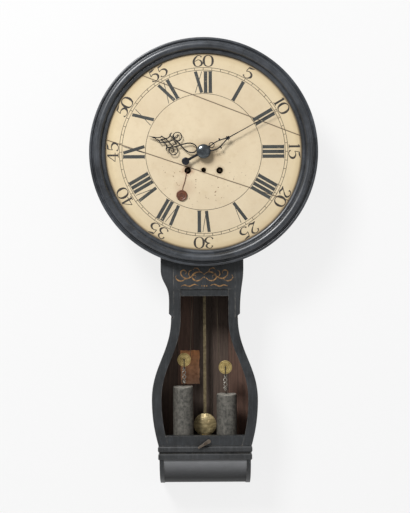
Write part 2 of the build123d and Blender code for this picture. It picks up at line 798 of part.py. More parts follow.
def great_wheel(at):
    """Great wheel that turns on the winding arbor in front of the barrel."""
    return toothed_wheel(at, great_teeth, great_r, front_layer, winding_r + 4, bore=winding_r + running)


def driven(at, wheel, driver_at, driver_teeth, leaves, leaf_r, leaf_front, driver_phase=0.0):
    """A wheel and pinion on one arbor, with the pinion in mesh with the wheel that drives it."""
    phase = meshed_phase(driver_at, at, driver_teeth, leaves, driver_phase)
    return arbor(at) + wheel + pinion(at, leaves, leaf_r, phase, leaf_front + leaf_length, leaf_front)


def second_wheel():
    wheel = toothed_wheel(second_at, second_teeth, second_r, second_layer, arbor_r + 3)
    return driven(second_at, wheel, going_great_at, great_teeth, second_pinion_teeth, second_pinion_r,
                  front_layer - 1.7)


def centre_wheel():
    """Centre wheel and pinion on the arbor that carries the minute hand."""
    wheel = toothed_wheel(centre_at, centre_teeth, centre_r, centre_layer, arbor_r + 3)
    phase = meshed_phase(second_at, centre_at, second_teeth, centre_pinion_teeth)
    leaf_back, leaf_front = second_layer + 4.5, second_layer - 1.0
    leaves = pinion(centre_at, centre_pinion_teeth, centre_pinion_r, phase, leaf_back, leaf_front)
    core = rod(centre_at, cannon_core_r, back_plate_back, minute_hand_back + 2)
    return core + wheel + leaves


def third_wheel():
    wheel = toothed_wheel(third_at, third_teeth, third_r, third_layer, arbor_r + 3)
    return driven(third_at, wheel, centre_at, centre_teeth, third_pinion_teeth, third_pinion_r,
                  centre_layer - pinion_lead)


def escape_wheel():
    """Escape wheel with hooked teeth, and its pinion."""
    step = 2 * pi / escape_teeth
    points = []
    for tooth in range(escape_teeth):
        for place, r in ((-0.6, escape_wheel_r - escape_hook), (0.12, escape_wheel_r - escape_hook),
                         (0.0, escape_wheel_r)):
            angle = (tooth + place) * step
            points.append((r * cos(angle), r * sin(angle)))
    rim = escape_wheel_r - escape_hook - 3
    face = make_face(Polyline(*points, close=True)) - crossings(5, rim, arm_width=3)
    wheel = Pos(escape_at[0], 0, escape_at[1]) * slab(face, escape_layer + 1.6, escape_layer)
    return driven(escape_at, wheel, third_at, third_teeth, escape_pinion_teeth, escape_pinion_r,
                  third_layer - pinion_lead)


def pallet_anchor():
    """Anchor with two pallets over the escape wheel, and the crutch that guides the pendulum."""
    drop = distance(escape_at, pallet_at)
    reach = escape_wheel_r + pallet_gap
    span = radians(66)
    across, up = reach * sin(span), reach * cos(span) - drop
    left, right = (-across, up), (across, up)
    arch = Polyline((-4, 4), (4, 4), (right[0] + 3.5, right[1] + 7), (right[0] + 3, right[1] - 1), right,
                    (right[0] - 1, right[1] + 6), (2.5, -3), (-2.5, -3), (left[0] + 1, left[1] + 6), left,
                    (left[0] - 3, left[1] - 1), (left[0] - 3.5, left[1] + 7), close=True)
    pallets = slab(make_face(arch), escape_layer + 4, escape_layer - 2)
    staff = rod((0, 0), arbor_r, back_plate_front - touch_gap, front_plate_back + touch_gap)
    staff += rod((0, 0), pivot_r, crutch_y + 1.5, front_plate_front)
    crutch = block((-2.5, 2.5), (crutch_y, crutch_y - 1.5), (4, -crutch_drop))
    fork_half = rod_width / 2 + touch_gap + 0.2
    fork_back = pendulum_y + rod_thickness / 2 + 3
    for side in (-1, 1):
        crutch += block((side * fork_half, side * (fork_half + 2)), (crutch_y - 1.5, fork_back),
                        (-crutch_drop, -crutch_drop + 5))
    fork_out = fork_half + 2
    crutch += block((-fork_out, fork_out), (crutch_y, crutch_y - 1.5), (-crutch_drop, 5 - crutch_drop))
    return Pos(pallet_at[0], 0, pallet_at[1]) * (pallets + staff + crutch)


crutch_y = -78.0
crutch_drop = 150.0
spring_width = 8.0
spring_thickness = 0.8
spring_length = 20.0
hanging_pin_r = 1.4
spring_eye_r = 4.0
cock_half = 11.0
cock_ear = 3.0


def back_cock():
    """Bracket behind the back plate with two ears and a pin, from which the pendulum hangs."""
    front = back_plate_back
    ear_inner = spring_width / 2 + touch_gap
    back = pendulum_y + ear_inner + cock_ear
    z = pallet_at[1]
    arm = block((-cock_half, cock_half), (front, back), (z + 6, z + 12))
    arm += block((-cock_half, cock_half), (front, front + 4), (z - 12, z + 6))
    for near in (pendulum_y + ear_inner, pendulum_y - ear_inner - cock_ear):
        arm += block((-5, 5), (near, near + cock_ear), (z - 5, z + 6))
    arm += rod((0, z), hanging_pin_r, back + 1, pendulum_y - ear_inner - cock_ear - 1)
    return arm - rod((0, z), pivot_r + 1.5, front + 5, front - 1)


def pendulum_rod():
    """Flat rod with its suspension spring and eye above and a threaded end below."""
    z = pallet_at[1]
    half = spring_width / 2
    eye = rod((0, z), spring_eye_r, pendulum_y + half, pendulum_y - half)
    spring = block((-spring_thickness / 2, spring_thickness / 2), (pendulum_y - half, pendulum_y + half),
                   (z - hanging_pin_r, z - spring_length))
    depth = (pendulum_y - rod_thickness / 2, pendulum_y + rod_thickness / 2)
    flat = block((-rod_width / 2, rod_width / 2), depth, (z - spring_length + 2, bob_z))
    end = Pos(0, pendulum_y, bob_z - rod_end_drop / 2) * Cylinder(rod_end_r, rod_end_drop)
    return eye + spring + flat + end - rod((0, z), hanging_pin_r + running, pendulum_y + half + 1,
                                           pendulum_y - half - 1)


def pendulum_bob():
    """Lens-shaped brass bob between two spherical faces, bored for the rod."""
    half, rim = bob_thickness / 2, 1.0
    dome_r = (bob_r**2 + (half - rim) ** 2) / (2 * (half - rim))
    front = Pos(0, dome_r - half, 0) * Sphere(dome_r)
    back = Pos(0, half - dome_r, 0) * Sphere(dome_r)
    lens = Pos(0, pendulum_y, bob_z) * (rod((0, 0), bob_r, half, -half) & front & back)
    slot_x, slot_y = rod_width / 2 + running, rod_thickness / 2 + running
    slot_end = bob_z + bob_r + 1
    lens -= block((-slot_x, slot_x), (pendulum_y - slot_y, pendulum_y + slot_y), (bob_z - 1, slot_end))
    return lens - Pos(0, pendulum_y, bob_z - bob_r / 2) * Cylinder(rod_end_r + running, bob_r + 2)


def rating_nut():
    top = bob_z - bob_r
    nut = Pos(0, pendulum_y, top - nut_height / 2) * Cylinder(nut_r, nut_height)
    return nut - Pos(0, pendulum_y, top - nut_height / 2) * Cylinder(rod_end_r, nut_height + 1)


def pin_wheel():
    """Strike wheel with the pins that lift the hammer tail."""
    wheel = toothed_wheel(pin_at, second_teeth, pin_r, pin_layer, arbor_r + 3)
    pin_circle = pin_r - 6
    for pin in range(lift_pin_count):
        angle = 2 * pi * pin / lift_pin_count + pi / 8
        place = (pin_at[0] + pin_circle * cos(angle), pin_at[1] + pin_circle * sin(angle))
        wheel += rod(place, 1.4, pin_layer + 1, pin_layer - 3.5)
    return driven(pin_at, wheel, strike_great_at, great_teeth, second_pinion_teeth, second_pinion_r,
                  front_layer - 1.7)


def hoop_wheel():
    wheel = toothed_wheel(hoop_at, hoop_teeth, hoop_r, centre_layer + 5, arbor_r + 3)
    return driven(hoop_at, wheel, pin_at, second_teeth, hoop_pinion_teeth, hoop_pinion_r, pin_layer - 1.7)


def warning_wheel():
    wheel = toothed_wheel(warning_at, warning_teeth, warning_r, third_layer - 2, arbor_r + 3)
    return driven(warning_at, wheel, hoop_at, hoop_teeth, warning_pinion_teeth, warning_pinion_r,
                  centre_layer + 3.3)


def fly():
    """Air brake with two flat vanes."""
    span = distance(warning_at, fly_at) - arbor_r - 1
    vanes = block((-span, span), (third_layer + 18, third_layer + 4), (-0.8, 0.8))
    place = Pos(fly_at[0], 0, fly_at[1]) * vanes
    return driven(fly_at, place, warning_at, warning_teeth, fly_pinion_teeth, fly_pinion_r, third_layer - 3.7)


def motion_work():
    """Cannon pinion, minute wheel and hour wheel: the hour hand turns once for twelve of the minute hand."""
    back = motion_front + 7
    phase = meshed_phase(centre_at, minute_wheel_at, cannon_teeth, minute_wheel_teeth)
    cannon = Pos(0, 0, 0) * slab(tooth_outline(cannon_teeth, cannon_r, 0.0), back + 0.5, back - 3)
    cannon += rod(centre_at, cannon_pipe_r, back + 0.5, minute_hand_back - 1)
    cannon -= rod(centre_at, cannon_core_r, back + 1, minute_hand_back - 3)
    keep("cannon_pinion", cannon)
    wheel = toothed_wheel(minute_wheel_at, minute_wheel_teeth, minute_wheel_r, back - 2.5, 5, phase, 2.0)
    wheel += pinion(minute_wheel_at, minute_pinion_teeth, minute_pinion_r, 0.0, back - 2, motion_front - 1)
    wheel -= rod(minute_wheel_at, stud_r + running, back + 1, motion_front - 3)
    keep("minute_wheel", wheel)
    hour_phase = meshed_phase(minute_wheel_at, centre_at, minute_pinion_teeth, hour_teeth)
    hour = toothed_wheel(centre_at, hour_teeth, hour_r, motion_front, hour_pipe_r + 2, hour_phase, 2.0)
    hour += rod(centre_at, hour_pipe_r, motion_front, hour_hand_back - hand_thickness)
    hour -= rod(centre_at, cannon_pipe_r + running, motion_front + 3, hour_hand_back - hand_thickness - 1)
    keep("hour_wheel", hour)


stud_r = 1.6


def front_plate():
    """Front plate, with the stud on which the minute wheel turns."""
    plate = movement_plate(front_plate_back, front_plate_front)
    return plate + rod(minute_wheel_at, stud_r, front_plate_front, motion_front - 2)


def bell_and_stand():
    """Turned bell, mouth down, and the bracket on the back plate that holds it."""
    mouth, crown = bell_at[1], bell_at[1] + bell_height
    outer = [(bell_r * r, mouth + bell_height * z) for r, z in bell_shares]
    inner = [((bell_r - bell_wall) * r, mouth + (bell_height - bell_wall) * z) for r, z in bell_shares]
    face = make_face(Polyline(*outer, *reversed(inner), close=True))
    bell = Pos(bell_at[0], bell_y, 0) * revolve(Plane.XZ * face, axis=Axis.Z)
    x, foot, back = bell_at[0], plate_top - 32, back_plate_back + 3
    post = block((x - 4, x + 4), (back_plate_back, back), (foot, crown + 8))
    arm = block((x - 4, x + 4), (back, bell_y - 5), (crown + 5, crown + 8))
    bolt = Pos(x, bell_y, crown + 2.5) * Cylinder(3, 5)
    return bell, post + arm + bolt


def hammer():
    """Strike hammer: an arbor, a tail in the path of the lifting pins and an arm with a round head."""
    layer = pin_layer - 4
    head_at = (bell_at[0] - bell_r - 9.0, bell_at[1] + 4.0)
    arm = stroke(Line(hammer_at, head_at), 4.0)
    reach = distance(hammer_at, pin_at) - (pin_r - 6) - 3
    share = reach / distance(hammer_at, pin_at)
    tail_end = tuple(start + (end - start) * share for start, end in zip(hammer_at, pin_at))
    tail = stroke(Line(hammer_at, tail_end), 4.0)
    flat = slab(arm + tail + Pos(*hammer_at) * Circle(5), layer + 3, layer)
    head = chamfer(Cylinder(hammer_head_r, hammer_head_length).edges(), 1.5)
    head = Pos(head_at[0], layer + 1.5, head_at[1]) * Rot(0, 90, 0) * head
    return arbor(hammer_at) + flat + head


def seatboard():
    inner = neck_half - side_board
    board = block((-inner, inner), (case_front, seat_back), (seat_foot, seat_top))
    way_down = winding_x - barrel_r - line_r + 3
    for side in (-1, 1):
        for x, r in ((way_down, line_hole_r), (line_anchor_x, line_r + 0.4)):
            hole = Cylinder(r, seat_thickness + 2)
            board -= Pos(side * x, weight_y, seat_top - seat_thickness / 2) * hole
    depth, height = (case_front, seat_back), (seat_foot, seat_foot - 20)
    bearers = [block((side * (inner - 12), side * inner), depth, height)
               for side in (-1, 1)]
    bearers = [piece - block((-inner, inner), (weight_y - 3, weight_y + 3), (seat_foot, seat_foot - 20))
               for piece in bearers]
    return [board, *bearers]


# Weights and pulleys
def pulley_wheel(x, z):
    half = pulley_width / 2
    hole_r = axle_r + running
    halves = []
    for side in (-1, 1):
        outer, inner = weight_y + side * half, weight_y + side * (half - pulley_rim)
        halves.append([(hole_r, outer), (pulley_r, outer), (pulley_r, inner),
                       (pulley_r - pulley_groove, weight_y + side)])
    return turned([*halves[0], *reversed(halves[1])], (x, z))


def stirrup(x, z):
    """Iron stirrup with its axle, and a wire link that hangs from it."""
    half = pulley_width / 2 + touch_gap
    strap = 1.8
    foot = z - pulley_r - 6
    piece = rod((x, z), axle_r, weight_y + half + strap, weight_y - half - strap - 1.5)
    for near in (weight_y + half, weight_y - half - strap):
        piece += block((x - strap_half, x + strap_half), (near, near + strap), (z + axle_r + 2, foot))
    outer = half + strap
    piece += block((x - strap_half, x + strap_half), (weight_y - outer, weight_y + outer), (foot, foot - 2.5))
    eye_at = foot - 2.5 - eye_r + link_r / 2
    link = wire_link(x, eye_at - eye_r + 2 * link_r + slack)
    return piece + ring((x, weight_y, eye_at), eye_r, link_r, False), link


link_r = 1.1
strap_half = 2.6
eye_r = 5.5
slack = 0.2           # gap between linked rings


def wire_link(x, top):
    """Figure-eight link of twisted wire between the stirrup and the weight's eye."""
    ring_r = 6.0
    upper = ring((x, weight_y, top - ring_r + link_r), ring_r, link_r, True)
    lower = ring((x, weight_y, top - 3 * ring_r + 2 * link_r), ring_r, link_r, True)
    return upper + lower


def weight(side, pulley_z):
    """Cast lead cylinder with a slightly rounded top and an iron eye rod."""
    x, top = side * weight_x, pulley_z - weight_drop
    lead = Pos(x, weight_y, top - weight_height / 2) * Cylinder(weight_r, weight_height)
    lead = chamfer(lead.edges().group_by(Axis.Z)[-1], 2.5)
    eye_x = side * pulley_x
    eye_z = top + 17
    rod_piece = Pos((x + eye_x) / 2, weight_y, top + 5) * Cylinder(1.8, 12)
    eye = ring(((x + eye_x) / 2, weight_y, eye_z), eye_r, link_r, False)
    return lead + rod_piece + eye


def line(side, pulley_z):
    """Gut line from the barrel, round the pulley and up to its anchor in the seatboard."""
    start = (winding_x - barrel_r - line_r, winding_z)
    centre = (pulley_x, pulley_z)
    wrap_r = pulley_r - 3.2 + line_r + 0.1
    away = distance(centre, start)
    tangent = atan2(start[1] - centre[1], start[0] - centre[0]) + acos(wrap_r / away)
    leave = (centre[0] + wrap_r * cos(tangent), centre[1] + wrap_r * sin(tangent))
    halfway = (tangent + 2 * pi) / 2
    under = (centre[0] + wrap_r * cos(halfway), centre[1] + wrap_r * sin(halfway))
    other = (centre[0] + wrap_r, centre[1])
    path = Line(start, leave) + ThreePointArc(leave, under, other) + Line(other, (other[0], seat_foot - 1))
    path = Plane.XZ * path
    path = Pos(0, weight_y, 0) * path
    section = Plane(origin=path @ 0, z_dir=path % 0) * Circle(line_r)
    solid = sweep(section, path=path)
    print("line", "section x length", round(pi * line_r**2 * path.length), "volume", round(solid.volume))
    return solid if side > 0 else mirrored(solid)


# Cord and wax seal at the left winding hole
seal_cord_r = 1.0
seal_r = 18.6
seal_thickness = 5.0
seal_at = (-73.0, -144.5)
cord_route = [
    (-58.0, -153.0, -67.0), (-58.0, -170.0, -67.0), (-57.5, -187.0, -66.5), (-58.0, -203.5, -69.0),
    (-60.5, -201.8, -88.0), (-64.5, -202.0, -104.0), (-69.5, -202.0, -116.0), (-71.5, -202.6, -129.0)]


def seal_cord():
    """Limp cord that comes out of the left winding hole and hangs against the dial."""
    points = [Vector(*p) for p in cord_route]
    radii = []
    for before, here, after in zip(points, points[1:], points[2:]):
        turn = radians((here - before).get_angle(after - here))
        radii.append(0.45 * min((here - before).length, (after - here).length) / tan(turn / 2))
    print("seal cord radii", [round(r, 1) for r in radii])
    path = FilletPolyline(*points, radius=radii)
    section = Plane(origin=path @ 0, z_dir=path % 0) * Circle(seal_cord_r)
    solid = sweep(section, path=path)
    print("seal cord", "length", round(path.length, 1), "section x length",
          round(pi * seal_cord_r**2 * path.length), "volume", round(solid.volume))
    return solid


def wax_seal():
    """Disc of wax with a raised rim, round the lower end of the cord."""
    back = dial_face - 0.4
    front = back - seal_thickness
    rim = [(seal_r, back), (seal_r, front + 1), (seal_r - 2, front), (seal_r - 6, front + 1.2)]
    return turned([(0, back), *rim, (0, front + 1.2)], seal_at)


def main():
    case_parts()
    keep("turn_button", turn_button())
    keep("turn_button_screw", turn_button_screw())
    keep("dial_boards", dial_boards())
    keep("dial_battens", *dial_battens())
    keep("dial_moulding", *dial_moulding())
    keep("hour_hand", hour_hand())
    keep("minute_hand", minute_hand())
    motion_work()
    keep("front_plate", front_plate())
    keep("back_plate", movement_plate(back_plate_back, back_plate_front))
    keep("plate_pillars", *pillars())
    keep("seatboard", *seatboard())
    keep("going_barrel", barrel(going_great_at))
    keep("strike_barrel", barrel(strike_great_at))
    keep("going_great_wheel", great_wheel(going_great_at))
    keep("strike_great_wheel", great_wheel(strike_great_at))
    keep("second_wheel", second_wheel())
    keep("centre_wheel", centre_wheel())
    keep("third_wheel", third_wheel())
    keep("escape_wheel", escape_wheel())
    keep("pallet_anchor", pallet_anchor())
    keep("back_cock", back_cock())
    keep("pendulum_rod", pendulum_rod())
    keep("pendulum_bob", pendulum_bob())
    keep("rating_nut", rating_nut())
    keep("pin_wheel", pin_wheel())
    keep("hoop_wheel", hoop_wheel())
    keep("warning_wheel", warning_wheel())
    keep("fly", fly())
    keep("hammer", hammer())
    keep("bell", *bell_and_stand())
    for side, name, z in ((-1, "left", left_pulley_z), (1, "right", right_pulley_z)):
        keep(f"{name}_pulley_wheel", pulley_wheel(side * pulley_x, z))
        keep(f"{name}_stirrup", *stirrup(side * pulley_x, z))
        keep(f"{name}_weight", weight(side, z))
        keep(f"{name}_line", line(side, z))
    keep("seal_cord", seal_cord())
    keep("wax_seal", wax_seal())


main()
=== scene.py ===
import json
from math import atan2, cos, hypot, pi, radians, sin, sqrt
from random import Random

import bpy
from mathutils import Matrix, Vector


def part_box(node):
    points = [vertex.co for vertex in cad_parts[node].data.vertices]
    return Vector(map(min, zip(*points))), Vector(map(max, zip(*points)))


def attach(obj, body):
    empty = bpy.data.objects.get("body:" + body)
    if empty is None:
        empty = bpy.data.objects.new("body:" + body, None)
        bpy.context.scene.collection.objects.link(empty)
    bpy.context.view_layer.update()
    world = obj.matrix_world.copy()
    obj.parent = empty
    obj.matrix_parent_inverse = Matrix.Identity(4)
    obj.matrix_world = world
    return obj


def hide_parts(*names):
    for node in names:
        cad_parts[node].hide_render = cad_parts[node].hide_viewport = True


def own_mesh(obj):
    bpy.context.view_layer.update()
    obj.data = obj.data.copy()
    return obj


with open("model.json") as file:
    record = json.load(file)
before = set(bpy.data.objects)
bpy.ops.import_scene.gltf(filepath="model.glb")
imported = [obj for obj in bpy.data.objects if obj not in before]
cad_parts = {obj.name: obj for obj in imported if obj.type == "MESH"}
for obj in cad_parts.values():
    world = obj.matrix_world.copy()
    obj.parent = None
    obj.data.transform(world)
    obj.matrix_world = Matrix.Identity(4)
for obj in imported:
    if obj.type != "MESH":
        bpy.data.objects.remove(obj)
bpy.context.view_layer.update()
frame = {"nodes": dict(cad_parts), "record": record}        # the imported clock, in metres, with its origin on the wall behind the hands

MM = 0.001

# Planes of the case and the dial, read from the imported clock
DIAL_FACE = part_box("dial_boards")[0].y
DIAL_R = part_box("dial_boards")[1].x
MOULDING_LOW, MOULDING_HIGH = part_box("dial_moulding")
MOULDING_R = MOULDING_HIGH.x
MOULDING_BACK = MOULDING_HIGH.y
BOARD_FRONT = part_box("sign_board")[0].y
LINE_R = 0.8 * MM

# Camera
CAMERA_PLACE = (0.0028, -3.622, -0.3475)      # level with the lower part of the dial
CAMERA_ROLL = radians(0.3)
CAMERA_LENS, CAMERA_SENSOR = 90.55, 36


def photo_camera():
    """The camera stands where the photograph was taken from."""
    camera = bpy.data.objects.new("camera", bpy.data.cameras.new("camera"))
    camera.location = CAMERA_PLACE
    camera.rotation_euler = (pi / 2, CAMERA_ROLL, 0)
    camera.data.sensor_fit = "HORIZONTAL"
    camera.data.sensor_width = CAMERA_SENSOR
    camera.data.lens = CAMERA_LENS
    bpy.context.scene.collection.objects.link(camera)
    bpy.context.scene.camera = camera


# Shader nodes
def operator(operation):
    return lambda value, other: value.nodes.do(operation, value, other)


class Value:
    """A number or a colour in a node tree, on which sums can be done."""

    def __init__(self, nodes, socket):
        self.nodes, self.socket = nodes, socket

    __add__, __sub__, __mul__ = map(operator, ("ADD", "SUBTRACT", "MULTIPLY"))
    __gt__, __lt__ = map(operator, ("GREATER_THAN", "LESS_THAN"))

    def __abs__(self):
        return self.nodes.do("ABSOLUTE", self)


class Nodes:
    """The nodes of one tree, with short ways to add those that the finishes need."""

    def __init__(self, tree):
        self.tree, self.object_place = tree, None

    def give(self, socket, value):
        """Link a value to a socket, or set a constant there."""
        if isinstance(value, Value):
            self.tree.links.new(value.socket, socket)
        else:
            socket.default_value = value

    def add(self, kind, inputs=None, **settings):
        node = self.tree.nodes.new("ShaderNode" + kind)
        for name, value in settings.items():
            setattr(node, name, value)
        for name, value in (inputs or {}).items():
            self.give(node.inputs[name], value)
        return node

    def out(self, node, name=0):
        return Value(self, node.outputs[name])

    def do(self, operation, *values, clamp=False):
        return self.out(self.add("Math", dict(enumerate(values)), operation=operation, use_clamp=clamp))

    def blend(self, factor, a, b, how="MIX"):
        """Mix of two colours."""
        return self.out(self.add("Mix", {0: factor, 6: a, 7: b}, data_type="RGBA", blend_type=how), 2)

    def fade(self, value, low, high, start=0.0, end=1.0):
        """Value taken from low..high to start..end, and held there."""
        return self.out(self.add("MapRange", {0: value, 1: low, 2: high, 3: start, 4: end}))

    @property
    def place(self):
        """Place of a point on the object."""
        self.object_place = self.object_place or self.out(self.add("TexCoord"), "Object")
        return self.object_place

    def stretched(self, scale):
        return self.out(self.add("Mapping", {"Vector": self.place, "Scale": scale}))

    def axes(self, vector=None):
        node = self.add("SeparateXYZ", {0: vector or self.place})
        return [self.out(node, k) for k in range(3)]

    def normal(self):
        return self.out(self.add("NewGeometry"), "Normal")

    def far(self, x, z):
        """Distance from the point where x and z are nothing."""
        return self.do("SQRT", x * x + z * z)

    def noise(self, place, scale, detail=4.0, roughness=0.55):
        inputs = {"Vector": place, "Scale": scale, "Detail": detail, "Roughness": roughness}
        return self.out(self.add("TexNoise", inputs), "Fac")

    def cloud(self, scale, detail, roughness, *limits):
        """Noise on the object, faded between limits."""
        return self.fade(self.noise(self.place, scale, detail, roughness), *limits)

    def streak(self, stretch, scale, detail, roughness, *limits):
        """Noise stretched along an axis, faded between limits."""
        return self.fade(self.noise(self.stretched(stretch), scale, detail, roughness), *limits)

    def use(self, shared, **inputs):
        """Place a shared group, and give its outputs by name."""
        node = self.tree.nodes.new("ShaderNodeGroup")
        node.node_tree = shared
        for name, value in inputs.items():
            self.give(node.inputs[name], value)
        return {socket.name: Value(self, socket) for socket in node.outputs}

    def seen_by(self, *rays):
        """One where any of the named kinds of ray looks."""
        path = self.add("LightPath")
        seen = self.out(path, rays[0])
        for ray in rays[1:]:
            seen = self.do("MAXIMUM", seen, self.out(path, ray))
        return seen


def paint(red, green, blue):
    """A colour as it is seen, from 0 to 255, in the linear values that shaders take."""
    shares = [c / 255 for c in (red, green, blue)]
    return (*[s / 12.92 if s < 11 / 255 else ((s + 0.055) / 1.055) ** 2.4 for s in shares], 1.0)


SOCKETS = {1: "NodeSocketFloat", 3: "NodeSocketVector", 4: "NodeSocketColor"}      # by how many values they hold


def group(name, inputs, outputs, fill):
    """A shader node group with named inputs and outputs, filled by a function that gives its outputs."""
    tree = bpy.data.node_groups.new(name, "ShaderNodeTree")
    for label, value in inputs.items():
        kind = SOCKETS[len(value) if isinstance(value, tuple) else 1]
        tree.interface.new_socket(name=label, in_out="INPUT", socket_type=kind).default_value = value
    for label, size in outputs.items():
        tree.interface.new_socket(name=label, in_out="OUTPUT", socket_type=SOCKETS[size])
    nodes = Nodes(tree)
    values = {socket.name: Value(nodes, socket) for socket in tree.nodes.new("NodeGroupInput").outputs}
    last = tree.nodes.new("NodeGroupOutput")
    for label, value in zip(outputs, fill(nodes, values)):
        nodes.give(last.inputs[label], value)
    return tree


def edge_wear(nodes, values):
    """Mask of the edges of a piece, broken up as hands and dusters wear them."""
    rounded = nodes.out(nodes.add("Bevel", {"Radius": values["Radius"]}, samples=4))
    dot = nodes.add("VectorMath", {0: rounded, 1: nodes.normal()}, operation="DOT_PRODUCT")
    edge = nodes.fade(nodes.out(dot, "Value"), 0.995, 0.9)
    broken = nodes.cloud(60.0, 6.0, 0.55, 0.4, 0.62)
    return [nodes.do("MULTIPLY", edge * broken, values["Amount"], clamp=True)]


def wood_grain(nodes, values):
    """Long streaks of wood grain, as a tone round one half."""
    place = nodes.stretched(values["Stretch"])
    warp = nodes.noise(place, values["Scale"], 6.0, 0.6)
    fine = nodes.noise(place, values["Scale"] * 6.0, 3.0)
    return [warp * 0.65 + fine * 0.35]


def aged_finish(nodes, values):
    """Two tones of one finish in soft clouds, with small dark pits."""
    clouds = nodes.cloud(values["Scale"], 7.0, 0.62, 0.36, 0.64)
    pits = nodes.cloud(values["Scale"] * 9.0, 3.0, 0.55, 0.62, 0.72) * values["Pits"]
    tone = nodes.blend(clouds, values["Light"], values["Dark"])
    tone = nodes.blend(pits, tone, nodes.blend(1.0, tone, (0.35, 0.32, 0.3, 1), "MULTIPLY"))
    return [tone, values["Roughness"] + nodes.fade(clouds, 0.0, 1.0, -0.07, 0.07), clouds * 0.4 - pits]


EDGE_WEAR = group("edge wear", {"Radius": 0.003, "Amount": 1.0}, {"Mask": 1}, edge_wear)
GRAIN = group("wood grain", {"Stretch": (30, 30, 1.5), "Scale": 4.0}, {"Tone": 1}, wood_grain)
AGE = group("aged finish", {"Light": (0.5, 0.5, 0.5, 1), "Dark": (0.3, 0.3, 0.3, 1), "Scale": 20.0, "Pits": 0.5,
                            "Roughness": 0.5}, {"Color": 4, "Roughness": 1, "Height": 1}, aged_finish)


class Finish(Nodes):
    """A material with one Principled shader, whose tone is laid on in layers."""

    def __init__(self, name, **plain):
        self.material = bpy.data.materials.new(name)
        self.material.use_nodes = True
        super().__init__(self.material.node_tree)
        self.shader = self.tree.nodes["Principled BSDF"]
        for label, value in plain.items():
            self.shader.inputs[label.replace("_", " ")].default_value = value
        self.tone = None

    def over(self, mask, *colour):
        """Lay a colour over the tone so far, where the mask is."""
        self.tone = self.blend(mask, self.tone, paint(*colour))

    def grain(self, stretch, scale=4.0):
        return self.use(GRAIN, Stretch=stretch, Scale=scale)["Tone"]

    def worn(self, radius, amount):
        return self.use(EDGE_WEAR, Radius=radius, Amount=amount)["Mask"]

    def age(self, light, dark, scale, pits, rough):
        """Start with an aged tone, and give its roughness and height."""
        out = self.use(AGE, Light=paint(*light), Dark=paint(*dark), Scale=scale, Pits=pits, Roughness=rough)
        self.tone = out["Color"]
        return out["Roughness"], out["Height"]

    def done(self, rough, height, bump=0.2, depth=0.0005):
        bumped = self.add("Bump", {"Height": height, "Strength": bump, "Distance": depth})
        for label, value in (("Base Color", self.tone), ("Roughness", rough), ("Normal", self.out(bumped))):
            self.give(self.shader.inputs[label], value)
        return self.material


def aged(name, light, dark, scale=20.0, pits=0.5, rough=0.5, bump=0.25, depth=0.0006, **plain):
    """A finish in two tones, for metals, wax and other plain stuff."""
    look = Finish(name, **plain)
    return look.done(*look.age(light, dark, scale, pits, rough), bump, depth)


# Numbers of the moulding's joints, in degrees, anticlockwise from the right
MOULDING_JOINTS = (4.0, 68.0, 132.0, 206.0, 294.0, 331.0)


def ebonised(name, light, dark, rough=0.42, wear=1.0, streak=(30, 30, 3), coat=0.1, joints=()):
    """Blue-black paint on wood, clouded, streaked with the grain and rubbed brown along the edges."""
    look = Finish(name, Coat_Weight=coat, Coat_Roughness=0.3)
    grain = look.grain(streak, 5.0)
    clouds = look.cloud(11.0, 8.0, 0.65, 0.38, 0.66)
    look.tone = look.blend(clouds, paint(*dark), paint(*light))
    look.over(look.fade(grain, 0.5, 0.72, 0.0, 0.5), *[min(255, c * 1.5) for c in light])
    look.over(look.cloud(240.0, 4.0, 0.7, 0.62, 0.72, 0.0, 0.55), 96, 94, 90)
    chips = look.cloud(75.0, 5.0, 0.6, 0.68, 0.73, 0.0, 0.7)
    look.over(chips, 38, 31, 27)
    look.over(look.worn(0.0035, wear), 104, 100, 94)
    look.over(look.streak((160, 160, 9), 1.0, 4.0, 0.7, 0.66, 0.74, 0.0, 0.5), 92, 92, 90)
    x, y, z = look.axes()
    for angle in map(radians, joints):
        line = look.fade(abs(x * sin(angle) - z * cos(angle)), 0.4 * MM, 1.1 * MM, 0.85, 0.0)
        look.over(line * (x * cos(angle) + z * sin(angle) > 0.0), 12, 11, 10)
    return look.done(look.fade(clouds, 0.0, 1.0, rough, rough + 0.16), grain * 0.6 - chips, 0.35, 0.0006)


def planks(name, warm, dull, joints):
    """Old unpainted boards with grain, dark open joints and a tone of its own for each board."""
    look = Finish(name)
    across = look.axes()[0]
    grain = look.grain((38, 38, 1.6))
    board = gap = 0.0
    for joint in joints:
        board = look.do("ADD", board, across > joint)
        gap = look.do("MAXIMUM", gap, look.do("COMPARE", across, joint, 0.8 * MM))
    own = look.out(look.add("TexWhiteNoise", {"W": board}, noise_dimensions="1D"), "Value")
    look.tone = look.blend(own, paint(*warm), paint(*dull))
    look.over(look.fade(grain, 0.36, 0.68, 0.75, 0.0), *[c * 0.45 for c in warm])
    look.over(gap * 0.85, 10, 8, 7)
    return look.done(0.75, grain - gap, 0.5, 0.0008)


# Dial, in mm
DIAL_JOINTS = ((-0.386, 176.0), (-0.338, -68.0))     # slope and height at the middle of each open joint
WINDING_X, WINDING_Z = 53.0, -62.0
CHAPTER_R = 193.0
TRACK_R = (271.0, 279.6)
RING_HALF, MARK_HALF = 0.95, 1.0
HOLE_STAINS = ((-WINDING_X, 0.75, 26.0, (150, 92, 62)), (WINDING_X, 0.7, 20.0, (120, 96, 66)),
               (0.0, 0.6, 15.0, (120, 96, 66)))      # place, strength, radius and colour


